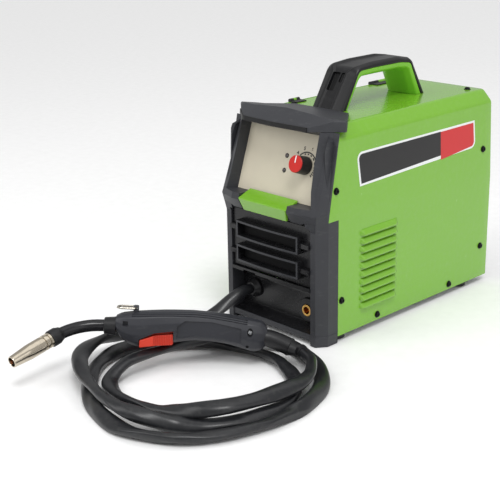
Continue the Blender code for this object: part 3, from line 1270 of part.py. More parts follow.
def grip_half(side):
    """One half of the handle, split along its middle plane."""
    rings = []
    seam = side * GAP / 2
    for along, top, bottom, half in GRIP_SECTIONS:
        tall = top - bottom
        outline = ((0, top), (0.5, top - 0.04 * tall), (0.82, top - 0.15 * tall),
                   (1.0, top - 0.36 * tall), (1.0, bottom + 0.36 * tall),
                   (0.82, bottom + 0.14 * tall), (0.5, bottom + 0.03 * tall), (0, bottom))
        rings.append([(along, seam if share == 0 else side * share * half, z)
                      for share, z in outline])
    return loft(rings)


def trigger_outline(grow):
    """Side view of the trigger, or of the pocket around it."""
    rise = 3.6 if grow else 0.0
    return ((TRIGGER_REAR - grow, 6.5 + rise), (TRIGGER_REAR - grow, -11.4 - 4 * grow),
            (116.8, -13.2 - 4 * grow), (TRIGGER_FRONT + grow, -16.4 - 4 * grow),
            (TRIGGER_FRONT + grow, -1.0 + grow), (124, 2.0 + rise / 2))


def make_torch_grip(torch, finishes):
    """The two handle shells, cut for the neck, the sleeve, the trigger and the hook's lug."""
    x, _, z = HOOK_PIVOT
    for name, side in (("torch_shell_left", 1), ("torch_shell_right", -1)):
        seam = side * GAP / 2
        pocket = prism([(y, z) for y, z in trigger_outline(0.6)], "y",
                       -TRIGGER_HALF_WIDTH - 0.5, TRIGGER_HALF_WIDTH + 0.5)
        neck = rod(NECK_RADIUS + GAP, (NECK_ROOT - 1, 0, NECK_UP), (1, 0, 0), 40)
        socket = rod(SLEEVE_RADIUS + GAP, (-30, 0, 0), (1, 0, 0), 38)
        lug = box((x - 3, x + 3), sorted((seam, seam + side * HOOK_LUG)), (z - 8, z + 2.6))
        eye = rod(HOOK_WIRE + RUNNING_GAP, (x, -20, z), (0, 1, 0), 40, 12)
        pin_hole = rod(1.5 + RUNNING_GAP, (TRIGGER_PIVOT[0], -11, TRIGGER_PIVOT[2]),
                       (0, 1, 0), 22, 12)
        make_piece(name, finishes["black"], grip_half(side), torch, join=(lug,),
                   cut=(pocket, neck, socket, eye, pin_hole), smooth=40)


def make_trigger(torch, finishes):
    """The trigger with its pivot pin."""
    shape = prism(trigger_outline(0.0), "y", -TRIGGER_HALF_WIDTH, TRIGGER_HALF_WIDTH)
    pin = rod(1.5, (TRIGGER_PIVOT[0], -10.5, TRIGGER_PIVOT[2]), (0, 1, 0), 21, 12)
    make_piece("trigger", finishes["orange"], shape, torch, pivot=TRIGGER_PIVOT, join=(pin,))


def neck_bend(share):
    """A point on the neck's arc, and the direction there."""
    angle = NECK_BEND * share
    across = Vector((0, math.sin(NECK_TURN), -math.cos(NECK_TURN)))
    ahead = Vector((1, 0, 0))
    point = (Vector((NECK_BEND_START, 0, NECK_UP)) + ahead * NECK_BEND_RADIUS * math.sin(angle)
             + across * NECK_BEND_RADIUS * (1 - math.cos(angle)))
    return point, ahead * math.cos(angle) + across * math.sin(angle)


def make_neck(torch, finishes):
    """The swan neck with its collar, nozzle and contact tip."""
    path = [(NECK_ROOT, 0, NECK_UP), (NECK_BEND_START - 12, 0, NECK_UP)]
    path += [neck_bend(k / 8)[0] for k in range(9)]
    end, ahead = neck_bend(1.0)
    nozzle_rear = end + NECK_TAIL * ahead
    path.append(nozzle_rear + NOZZLE_SOCKET * ahead)
    make_piece("swan_neck", finishes["black"], tube(path, NECK_RADIUS, 16), torch)
    bore = NECK_RADIUS + GAP
    front = GRIP_SECTIONS[-1][0] + GAP
    length = NECK_BEND_START - 1 - front
    collar = turned(((bore, 0), (COLLAR_RADIUS + 0.8, 0), (COLLAR_RADIUS, 3),
                     (COLLAR_RADIUS - 0.8, length - 1), (COLLAR_RADIUS - 1.8, length),
                     (bore, length)), (front, 0, NECK_UP), (1, 0, 0), ring=True)
    make_piece("neck_collar", finishes["black"], collar, torch)
    inner = NOZZLE_TIP_RADIUS - 1.3
    nozzle = turned(((bore, 0), (NOZZLE_RADIUS - 0.4, 0), (NOZZLE_RADIUS, 1.5),
                     (NOZZLE_RADIUS, 30), (NOZZLE_TIP_RADIUS, NOZZLE_LENGTH),
                     (inner, NOZZLE_LENGTH), (inner, NOZZLE_SOCKET + 6),
                     (bore, NOZZLE_SOCKET + 2)), nozzle_rear, ahead, ring=True)
    make_piece("nozzle", finishes["nickel"], nozzle, torch)
    start = NOZZLE_SOCKET + GAP
    tip = turned(((0, start), (TIP_RADIUS, start), (TIP_RADIUS, NOZZLE_LENGTH - 7),
                  (TIP_RADIUS - 1.2, NOZZLE_LENGTH - 4), (0, NOZZLE_LENGTH - 4)),
                 nozzle_rear, ahead, 16)
    make_piece("contact_tip", finishes["copper"], tip, torch)


def make_hook(torch, finishes):
    """The wire bail that the torch hangs by."""
    x, _, z = HOOK_PIVOT
    inner = 1.0
    half, reach = HOOK_HALF_WIDTH, HOOK_LENGTH
    path = [(x, inner, z), (x, half - 1.5, z), (x + 1, half, z), (x + reach - 3, half, z),
            (x + reach, half - 3, z), (x + reach, 3 - half, z), (x + reach - 3, -half, z),
            (x + 1, -half, z), (x, 1.5 - half, z), (x, -inner, z)]
    make_piece("torch_hook", finishes["nickel"], tube(path, HOOK_WIRE, 8), torch,
               pivot=HOOK_PIVOT)


def make_sleeve(root, finishes):
    """The sleeve and tapered boot between the torch and its hose."""
    frame = torch_frame()
    path = [frame @ Vector(point) for point in (
        (7, 0, 0), (-6, 0, 0), (-12, 0, -0.8), (-22, 0, -4.0), (-33.5, 0, -8.6), (-36, 0, -9.8))]
    radii = [SLEEVE_RADIUS] * 5 + [SLEEVE_RADIUS + 0.6]
    end = Vector(HOSE_ROUTE[-1])
    way = (end - hose_points()[-2]).normalized()
    bead = path[-1]
    middle = bead.lerp(end, 0.5) + 0.25 * (end + 8 * way - bead.lerp(end, 0.5))
    path += [bead.lerp(middle, 0.3), middle, end + 8 * way, end + GAP * way]
    radii += [SLEEVE_RADIUS - 1.4, SLEEVE_RADIUS - 2.2, HOSE_RADIUS + 1.4, HOSE_RADIUS + 0.8]
    make_piece("hose_sleeve", finishes["black"], tube(path, radii, 16), root, smooth=50)


def hose_points():
    """The hose's centre line, with a straight, square stretch at either end."""
    points = smooth_route(HOSE_ROUTE, HOSE_POINTS)
    start, end = Vector(HOSE_ROUTE[0]), Vector(HOSE_ROUTE[-1])
    leave = (Vector(HOSE_ROUTE[1]) - start).normalized()
    arrive = (end - Vector(HOSE_ROUTE[-2])).normalized()
    points.insert(1, start + 2 * HOSE_RADIUS * leave)
    points.insert(-1, end - 2 * HOSE_RADIUS * arrive)
    return points


def make_hose(root, finishes):
    """The hose lead that lies in loops before the machine."""
    points = hose_points()
    curve = bpy.data.curves.new("torch_hose", "CURVE")
    curve.dimensions = "3D"
    curve.bevel_depth = HOSE_RADIUS * MILLIMETRE
    curve.bevel_resolution = 2
    curve.use_fill_caps = True
    curve.materials.append(finishes["rubber"])
    spline = curve.splines.new("POLY")
    spline.points.add(len(points) - 1)
    for knot, point in zip(spline.points, points):
        knot.co = (*(point * MILLIMETRE), 1.0)
    hose = bpy.data.objects.new("torch_hose", curve)
    bpy.context.scene.collection.objects.link(hose)
    hose.parent = root
    length = sum((b - a).length for a, b in zip(points, points[1:]))
    print(f"hose length {length:.0f} mm, least gap to itself {hose_gap(points):.2f} mm")


def hose_gap(points):
    """Least distance between the surfaces of two stretches of the hose."""
    fine = []
    for a, b in zip(points, points[1:]):
        fine += [a.lerp(b, k / 4) for k in range(4)]
    step = (fine[13] - fine[12]).length
    apart = int(8 * HOSE_RADIUS / step)
    least = min((fine[i] - fine[j]).length
                for i in range(len(fine)) for j in range(i + apart, len(fine)))
    return least - 2 * HOSE_RADIUS


# ================================================================ whole
def centre_on_origin(root, loose=("torch_hose",)):
    """Moves the root so that the part without its hose stands centred on the origin."""
    depsgraph = bpy.context.evaluated_depsgraph_get()
    low, high = Vector((1e9,) * 3), Vector((-1e9,) * 3)
    for piece in bpy.context.scene.objects:
        if piece.type != "MESH" or piece.hide_render or piece.name in loose:
            continue
        solid = piece.evaluated_get(depsgraph)
        mesh = solid.to_mesh()
        for vert in mesh.vertices:
            place = solid.matrix_world @ vert.co
            low = Vector(map(min, low, place))
            high = Vector(map(max, high, place))
        solid.to_mesh_clear()
    root.location = (-(low.x + high.x) / 2, -(low.y + high.y) / 2, 0)
    print("machine frame origin at", tuple(round(1000 * value, 3) for value in root.location))


def main():
    """Builds the whole part."""
    for old in list(bpy.data.objects):
        bpy.data.objects.remove(old)
    root = bpy.data.objects.new("machine", None)
    bpy.context.scene.collection.objects.link(root)
    finishes = make_finishes()
    for make in (make_chassis, make_cover, make_feet, make_divider, make_door, make_hinges,
                 make_latch, make_bezel, make_bezel_foot, make_hood, make_badge, make_panel,
                 make_grille, make_lower_recess, make_handle, make_rear_panel, make_fan,
                 make_switch, make_inlet, make_spool, make_feeder, make_electronics):
        make(root, finishes)
    torch = torch_empty(root)
    for make in (make_torch_grip, make_trigger, make_neck, make_hook):
        make(torch, finishes)
    make_sleeve(root, finishes)
    make_hose(root, finishes)
    centre_on_origin(root)


main()
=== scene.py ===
"""A portable wire-feed welding machine and its torch, dressed for the camera.

Shapes are modelled in millimetres in the machine's own frame: z = 0 is the bench, the front looks
towards -Y and x = 0 is the middle of the case. Shape.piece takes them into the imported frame.
"""

import logging
import math
from collections.abc import Callable, Iterable, Sequence
from dataclasses import dataclass
from enum import Enum
from functools import cache

import bmesh
import bpy
from mathutils import Matrix, Vector


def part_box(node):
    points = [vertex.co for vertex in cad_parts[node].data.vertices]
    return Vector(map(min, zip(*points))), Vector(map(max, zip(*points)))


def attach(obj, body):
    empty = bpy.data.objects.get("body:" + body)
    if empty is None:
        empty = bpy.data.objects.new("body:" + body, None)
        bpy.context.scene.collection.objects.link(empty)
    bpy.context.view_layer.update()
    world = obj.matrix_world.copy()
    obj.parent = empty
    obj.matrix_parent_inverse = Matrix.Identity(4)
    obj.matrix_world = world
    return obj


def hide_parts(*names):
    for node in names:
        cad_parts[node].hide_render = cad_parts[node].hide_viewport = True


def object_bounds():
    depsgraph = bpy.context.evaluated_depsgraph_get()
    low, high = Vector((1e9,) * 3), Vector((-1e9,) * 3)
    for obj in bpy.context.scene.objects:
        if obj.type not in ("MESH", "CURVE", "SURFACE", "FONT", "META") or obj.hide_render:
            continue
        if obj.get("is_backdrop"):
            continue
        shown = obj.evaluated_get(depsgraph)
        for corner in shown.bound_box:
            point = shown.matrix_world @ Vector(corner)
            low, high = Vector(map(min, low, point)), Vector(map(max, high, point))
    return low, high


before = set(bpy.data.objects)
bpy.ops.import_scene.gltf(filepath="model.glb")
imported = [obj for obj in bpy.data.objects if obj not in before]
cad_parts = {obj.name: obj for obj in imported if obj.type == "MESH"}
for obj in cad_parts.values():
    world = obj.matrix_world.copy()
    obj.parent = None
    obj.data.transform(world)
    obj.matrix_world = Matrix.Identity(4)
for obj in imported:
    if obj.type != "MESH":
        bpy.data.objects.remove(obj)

LOG = logging.getLogger("welder")
MM = 0.001
PANEL_FOOT = (-20.8, 171.8)
PANEL_TILT = math.radians(18.3)

Colour = tuple[float, float, float]
Point = Sequence[float]


def srgb(red: int, green: int, blue: int) -> Colour:
    """Turns a display colour into the linear colour that a shader takes.

    Args:
        red: Red from 0 to 255.
        green: Green from 0 to 255.
        blue: Blue from 0 to 255.

    Returns:
        The linear colour.
    """
    def linear(value: int) -> float:
        """One channel, linear."""
        share = value / 255
        return share / 12.92 if share <= 0.04045 else ((share + 0.055) / 1.055) ** 2.4
    return linear(red), linear(green), linear(blue)


def machine_origin() -> Vector:
    """The machine frame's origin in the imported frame, in metres, from the chassis tray."""
    low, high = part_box("base_chassis")
    return Vector(((low.x + high.x) / 2, low.y, 0.0))


TO_FRAME = Matrix.Translation(machine_origin()) @ Matrix.Scale(MM, 4)


# ---------------------------------------------------------------------------- shading
class Wire:
    """One shader socket that takes part in sums."""

    def __init__(self, bench: "Bench", socket: bpy.types.NodeSocket) -> None:
        """Holds a socket of a bench's node tree."""
        self.bench = bench
        self.socket = socket

    def sum(self, operation: str, *terms: "Wire | float") -> "Wire":
        """Adds one Math node.

        Args:
            operation: The Math node's operation.
            terms: Its inputs, in order.

        Returns:
            The node's result.
        """
        return self.bench.node("ShaderNodeMath", {"operation": operation}, dict(enumerate(terms)))

    def __add__(self, other: "Wire | float") -> "Wire":
        """self + other."""
        return self.sum("ADD", self, other)

    __radd__ = __add__

    def __mul__(self, other: "Wire | float") -> "Wire":
        """self * other."""
        return self.sum("MULTIPLY", self, other)

    __rmul__ = __mul__

    def __sub__(self, other: "Wire | float") -> "Wire":
        """self - other."""
        return self.sum("SUBTRACT", self, other)

    def __rsub__(self, other: "Wire | float") -> "Wire":
        """other - self."""
        return self.sum("SUBTRACT", other, self)


class Bench:
    """The node tree of one material, and the one method that adds a node to it."""

    def __init__(self, name: str) -> None:
        """Makes an empty material with an output.

        Args:
            name: The material's name.
        """
        self.material = bpy.data.materials.new(name)
        self.material.use_nodes = True
        self.tree = self.material.node_tree
        self.tree.nodes.clear()

    def node(self, kind: str, settings: dict | None = None, sockets: dict | None = None,
             out: int | str = 0) -> Wire:
        """Adds a node.

        Args:
            kind: The node's type.
            settings: Its settings, set before its sockets; "stops" fills a colour ramp.
            sockets: A value or a Wire for each input, by name or number.
            out: The output that is wanted.

        Returns:
            That output.
        """
        made = self.tree.nodes.new(kind)
        for name, value in (settings or {}).items():
            if name == "stops":
                for index, (place, colour) in enumerate(value):
                    stops = made.color_ramp.elements
                    stop = stops[index] if index < len(stops) else stops.new(place)
                    stop.position, stop.color = place, (*colour, 1.0)
            else:
                setattr(made, name, value)
        for key, value in (sockets or {}).items():
            if isinstance(value, Wire):
                self.tree.links.new(value.socket, made.inputs[key])
            else:
                made.inputs[key].default_value = value
        return Wire(self, made.outputs[out])

    def place(self, stretch: Point = (1, 1, 1)) -> Wire:
        """Object coordinates, stretched along each axis."""
        here = self.node("ShaderNodeTexCoord", out="Object")
        return self.node("ShaderNodeMapping", None, {"Vector": here, "Scale": stretch})

    def noise(self, size: float, detail: float = 2.0, stretch: Point = (1, 1, 1)) -> Wire:
        """Noise from 0 to 1 whose features are about size millimetres across."""
        return self.node("ShaderNodeTexNoise", None, {
            "Vector": self.place(stretch), "Scale": 1 / (size * MM), "Detail": detail})

    def between(self, value: Wire, low: float, high: float) -> Wire:
        """How far a value is between two others, from 0 to 1."""
        return self.node("ShaderNodeMapRange", None, {
            "Value": value, "From Min": low, "From Max": high})

    def blend(self, share: Wire, first: Colour | Wire, second: Colour | Wire) -> Wire:
        """A colour between two colours, by a share from 0 to 1."""
        ends = [c if isinstance(c, Wire) else (*c, 1.0) for c in (first, second)]
        return self.node("ShaderNodeMix", {"data_type": "RGBA"},
                         {0: share, 6: ends[0], 7: ends[1]}, 2)

    def relief(self, height: Wire, depth: float, below: Wire | None = None) -> Wire:
        """Turns a height into a normal.

        Args:
            height: Height from 0 to 1.
            depth: Millimetres that 1 stands for.
            below: A normal that this relief lies on.

        Returns:
            The normal.
        """
        sockets = {"Height": height, "Distance": depth * MM, "Strength": 1.0}
        if below is not None:
            sockets["Normal"] = below
        return self.node("ShaderNodeBump", None, sockets)

    def close(self, sockets: dict) -> bpy.types.Material:
        """Adds the shader and the output.

        Args:
            sockets: The Principled shader's inputs.

        Returns:
            The finished material.
        """
        shader = self.node("ShaderNodeBsdfPrincipled", None, sockets)
        end = self.tree.nodes.new("ShaderNodeOutputMaterial")
        self.tree.links.new(shader.socket, end.inputs["Surface"])
        return self.material


PALE_DUST = srgb(214, 222, 200)
GREY_DUST = srgb(110, 108, 104)
SCUFFED = srgb(150, 150, 148)


def shade(colour: Colour, factor: float) -> Colour:
    """A colour made darker or lighter by a factor."""
    return tuple(min(1.0, channel * factor) for channel in colour)


@dataclass(frozen=True)
class Finish:
    """What a surface is made of: its name, a slot name that is not used, its colour and gloss."""

    label: str
    slot: str
    colour: Colour
    roughness: float = 0.5

    def lay(self, bench: Bench) -> dict:
        """The Principled shader's inputs for this finish."""
        return {"Base Color": (*self.colour, 1.0), "Roughness": self.roughness}


@dataclass(frozen=True)
class GlossPaint(Finish):
    """Sprayed gloss paint with fine orange peel under a clear coat."""

    peel: float = 2.2
    coat: float = 0.5

    def lay(self, bench: Bench) -> dict:
        """Slow drifts of tone, a film of dust, and orange peel.

        Args:
            bench: The material's node tree.

        Returns:
            The shader's inputs.
        """
        drift = bench.noise(90, 3)
        dust = bench.between(bench.noise(7, 5), 0.45, 0.8)
        tone = bench.blend(drift, shade(self.colour, 0.97), shade(self.colour, 1.03))
        film = bench.blend(dust * 0.025, tone, PALE_DUST)
        peel = bench.noise(self.peel, 1)
        return {
            "Base Color": film, "Roughness": self.roughness + 0.04 * dust,
            "Normal": bench.relief(peel, 0.002), "Coat Weight": self.coat,
            "Coat Roughness": 0.12}


@dataclass(frozen=True)
class Moulded(Finish):
    """Moulded plastic with a fine spark-eroded grain."""

    grain: float = 0.7
    depth: float = 0.02
    scuff: float = 0.25

    def lay(self, bench: Bench) -> dict:
        """Grain, a drifting sheen where hands and cloths have been, and faint scuffs.

        Args:
            bench: The material's node tree.

        Returns:
            The shader's inputs.
        """
        grain = bench.noise(self.grain, 3)
        drift = bench.noise(38, 3)
        scuffs = bench.between(bench.noise(11, 6, (1, 1, 3)), 0.58, 0.78)
        tone = bench.blend(drift, shade(self.colour, 0.86), shade(self.colour, 1.12))
        worn = bench.blend(scuffs * (0.25 * self.scuff), tone, SCUFFED)
        gloss = self.roughness + 0.1 * (drift - 0.5) + 0.12 * self.scuff * scuffs
        return {"Base Color": worn, "Roughness": gloss, "Normal": bench.relief(grain, self.depth),
                "Specular IOR Level": 0.36}


class Brush(Enum):
    """Which way a metal's fine scratches run."""

    ANY = (1.0, 1.0, 1.0)
    ALONG_Y = (1.0, 0.04, 1.0)
    ALONG_Z = (1.0, 1.0, 0.04)


@dataclass(frozen=True)
class Metal(Finish):
    """Bare or plated metal with fine scratches and a little stain."""

    brush: Brush = Brush.ANY
    stain: float = 0.2

    def lay(self, bench: Bench) -> dict:
        """Scratches in the roughness and the relief, and stains in the colour.

        Args:
            bench: The material's node tree.

        Returns:
            The shader's inputs.
        """
        lines = bench.noise(0.5, 2, self.brush.value)
        stains = bench.between(bench.noise(9, 5), 0.5, 0.75)
        tone = bench.blend(stains * self.stain, self.colour, shade(self.colour, 0.55))
        gloss = self.roughness + 0.14 * (lines - 0.5) + 0.15 * self.stain * stains
        return {"Base Color": tone, "Metallic": 1.0, "Roughness": gloss,
                "Normal": bench.relief(lines, 0.01)}


@dataclass(frozen=True)
class Skin(Finish):
    """The soft outer skin of a hose or a foot."""

    def lay(self, bench: Bench) -> dict:
        """Handling marks, dust and a slightly wavy surface.

        Args:
            bench: The material's node tree.

        Returns:
            The shader's inputs.
        """
        wave = bench.noise(14, 2)
        marks = bench.between(bench.noise(5, 6), 0.5, 0.8)
        tone = bench.blend(marks * 0.1, self.colour, GREY_DUST)
        return {"Base Color": tone, "Roughness": self.roughness + 0.12 * (wave - 0.5) + 0.1 * marks,
                "Normal": bench.relief(wave, 0.12, bench.relief(bench.noise(0.9, 2), 0.015))}


@dataclass(frozen=True)
class Lens(Finish):
    """A clear dome over a dark well."""

    def lay(self, bench: Bench) -> dict:
        """A dark glossy dome with a faint ring.

        Args:
            bench: The material's node tree.

        Returns:
            The shader's inputs.
        """
        ring = bench.between(bench.noise(2.5, 2), 0.3, 0.7)
        return {"Base Color": bench.blend(ring, self.colour, shade(self.colour, 1.6)),
                "Roughness": self.roughness + 0.05 * ring, "Coat Weight": 1.0,
                "Coat Roughness": 0.03}


@dataclass(frozen=True)
class Laminate(Finish):
    """A circuit board: solder mask with copper tracks that show through."""

    def lay(self, bench: Bench) -> dict:
        """Tracks from a brick pattern, broken up by noise.

        Args:
            bench: The material's node tree.

        Returns:
            The shader's inputs.
        """
        tracks = bench.node("ShaderNodeTexBrick", {"offset": 0.5, "squash": 2.0}, {
            "Vector": bench.place(), "Scale": 260.0, "Mortar Size": 0.06, "Color1": (0, 0, 0, 1),
            "Color2": (0, 0, 0, 1), "Mortar": (1, 1, 1, 1)})
        light = bench.node("ShaderNodeRGBToBW", None, {0: tracks})
        share = light * bench.between(bench.noise(9, 2), 0.42, 0.55)
        return {"Base Color": bench.blend(share, self.colour, shade(self.colour, 2.6)),
                "Roughness": self.roughness - 0.1 * share,
                "Normal": bench.relief(share, 0.04)}


@dataclass(frozen=True)
class WoundWire(Finish):
    """Turns of drawn wire, side by side."""

    pitch: float = 0.9

    def lay(self, bench: Bench) -> dict:
        """Ridges across the reel's axle, with painted shade in the grooves between turns.

        Args:
            bench: The material's node tree.

        Returns:
            The shader's inputs.
        """
        turns = bench.node("ShaderNodeTexWave", {"wave_type": "BANDS", "bands_direction": "X"}, {
            "Vector": bench.place(), "Scale": math.pi / (20 * self.pitch * MM),
            "Distortion": 0.4, "Detail": 1.0}, "Fac")
        # painted shade: the colour falls to under half its value in the grooves between turns
        tone = bench.blend(turns, shade(self.colour, 0.45), self.colour)
        return {"Base Color": tone, "Metallic": 1.0, "Roughness": self.roughness,
                "Normal": bench.relief(turns, 0.2)}


@dataclass(frozen=True)
class Ink(Finish):
    """Printed film or screen ink on a smooth face."""

    def lay(self, bench: Bench) -> dict:
        """A satin film with faint unevenness.

        Args:
            bench: The material's node tree.

        Returns:
            The shader's inputs.
        """
        drift = bench.noise(16, 4)
        return {"Base Color": bench.blend(drift, shade(self.colour, 0.95),
                                          shade(self.colour, 1.04)),
                "Roughness": self.roughness + 0.08 * (drift - 0.5),
                "Normal": bench.relief(bench.noise(1.2, 2), 0.006)}


@cache
def material(finish: Finish) -> bpy.types.Material:
    """The one material of a finish."""
    bench = Bench(finish.label)
    return bench.close(finish.lay(bench))


GREEN = GlossPaint("green case paint", "green", srgb(119, 178, 41), 0.24)
GREEN_GRIP = Moulded("green grip plastic", "green_plastic", srgb(124, 192, 52), 0.38, 1.2, 0.01,
                     0.1)
CHARCOAL = Moulded("charcoal moulding", "charcoal", srgb(53, 54, 58), 0.44, 0.6, 0.025, 0.3)
BLACK = Moulded("black moulding", "black", srgb(30, 30, 32), 0.4, 0.7, 0.015, 0.2)
GLOSS_BLACK = Moulded("glossy black moulding", "black", srgb(26, 26, 28), 0.27, 2.5, 0.008, 0.15)
DEEP_BLACK = Moulded("deep black moulding", "black", srgb(15, 15, 16), 0.5, 0.9, 0.01, 0.1)
HANDLE_BLACK = Moulded("carrying handle plastic", "black", srgb(21, 21, 23), 0.36, 2.0, 0.008, 0.15)
TORCH_BLACK = Moulded("torch handle plastic", "black", srgb(48, 49, 54), 0.38, 0.8, 0.012, 0.2)
NECK_BLACK = Moulded("neck sleeve", "black", srgb(27, 27, 30), 0.2, 4.0, 0.004, 0.1)
# Painted shade: a near-black matte for sheets that stand in for the shade in the grille's depths
# and the handle's pockets.
PAINTED_SHADE_BLACK = Moulded("painted shade black", "black", srgb(14, 14, 15), 0.8, 0.9, 0.05, 0.0)
BEIGE = Ink("panel film", "beige", srgb(204, 196, 176), 0.46)
PRINT_BLACK = Ink("black print", "black", srgb(24, 23, 24), 0.4)
PRINT_WHITE = Ink("white print", "beige", srgb(236, 238, 238), 0.4)
PRINT_RED = Ink("red print", "red", srgb(204, 40, 42), 0.35)
CAP_RED = Moulded("red knob cap", "red", srgb(194, 38, 32), 0.34, 1.5, 0.006, 0.1)
TRIGGER_RED = Moulded("trigger plastic", "orange", srgb(214, 66, 48), 0.36, 1.2, 0.008, 0.15)
SOCKET_BLACK = Moulded("socket plastic", "black", srgb(30, 30, 32), 0.3, 1.5, 0.006, 0.1)
FOOT_RUBBER = Skin("foot rubber", "rubber", srgb(38, 38, 39), 0.7)
HOSE_RUBBER = Skin("hose skin", "rubber", srgb(27, 28, 31), 0.33)
ZINC = Metal("zinc plate", "zinc", srgb(176, 178, 178), 0.36, Brush.ALONG_Y, 0.15)
STEEL = Metal("turned steel", "zinc", srgb(182, 184, 186), 0.28, Brush.ANY, 0.1)
BLACK_SCREW = Metal("blackened screw", "black", srgb(44, 44, 46), 0.38, Brush.ANY, 0.3)
NICKEL = Metal("nickel nozzle", "nickel", srgb(204, 194, 176), 0.19, Brush.ANY, 0.25)
HOOK_NICKEL = Metal("nickel wire", "nickel", srgb(196, 190, 178), 0.2, Brush.ANY, 0.1)
BRASS = Metal("turned brass", "brass", srgb(214, 170, 96), 0.26, Brush.ANY, 0.2)
COPPER = Metal("copper", "copper", srgb(196, 122, 84), 0.34, Brush.ANY, 0.25)
ALLOY = Metal("bare alloy", "alloy", srgb(198, 200, 203), 0.4, Brush.ALONG_Z, 0.15)
BOARD = Laminate("circuit board", "board", srgb(18, 66, 38), 0.45)
REEL = Moulded("reel plastic", "reel", srgb(46, 46, 50), 0.45, 1.0, 0.01, 0.3)
WIRE = WoundWire("welding wire", "copper", srgb(206, 136, 94), 0.3)
ENAMEL = WoundWire("enamelled windings", "windings", srgb(168, 84, 44), 0.3, 1.6)
LENS = Lens("lamp lens", "lamp", srgb(40, 30, 32), 0.12)


# ---------------------------------------------------------------------------- meshes
def linked(name: str, data: bpy.types.ID) -> bpy.types.Object:
    """Makes an object of some data and links it to the scene.

    Args:
        name: The object's name.
        data: Its mesh, light, camera or curve.

    Returns:
        The object.
    """
    made = bpy.data.objects.new(name, data)
    bpy.context.scene.collection.objects.link(made)
    return made


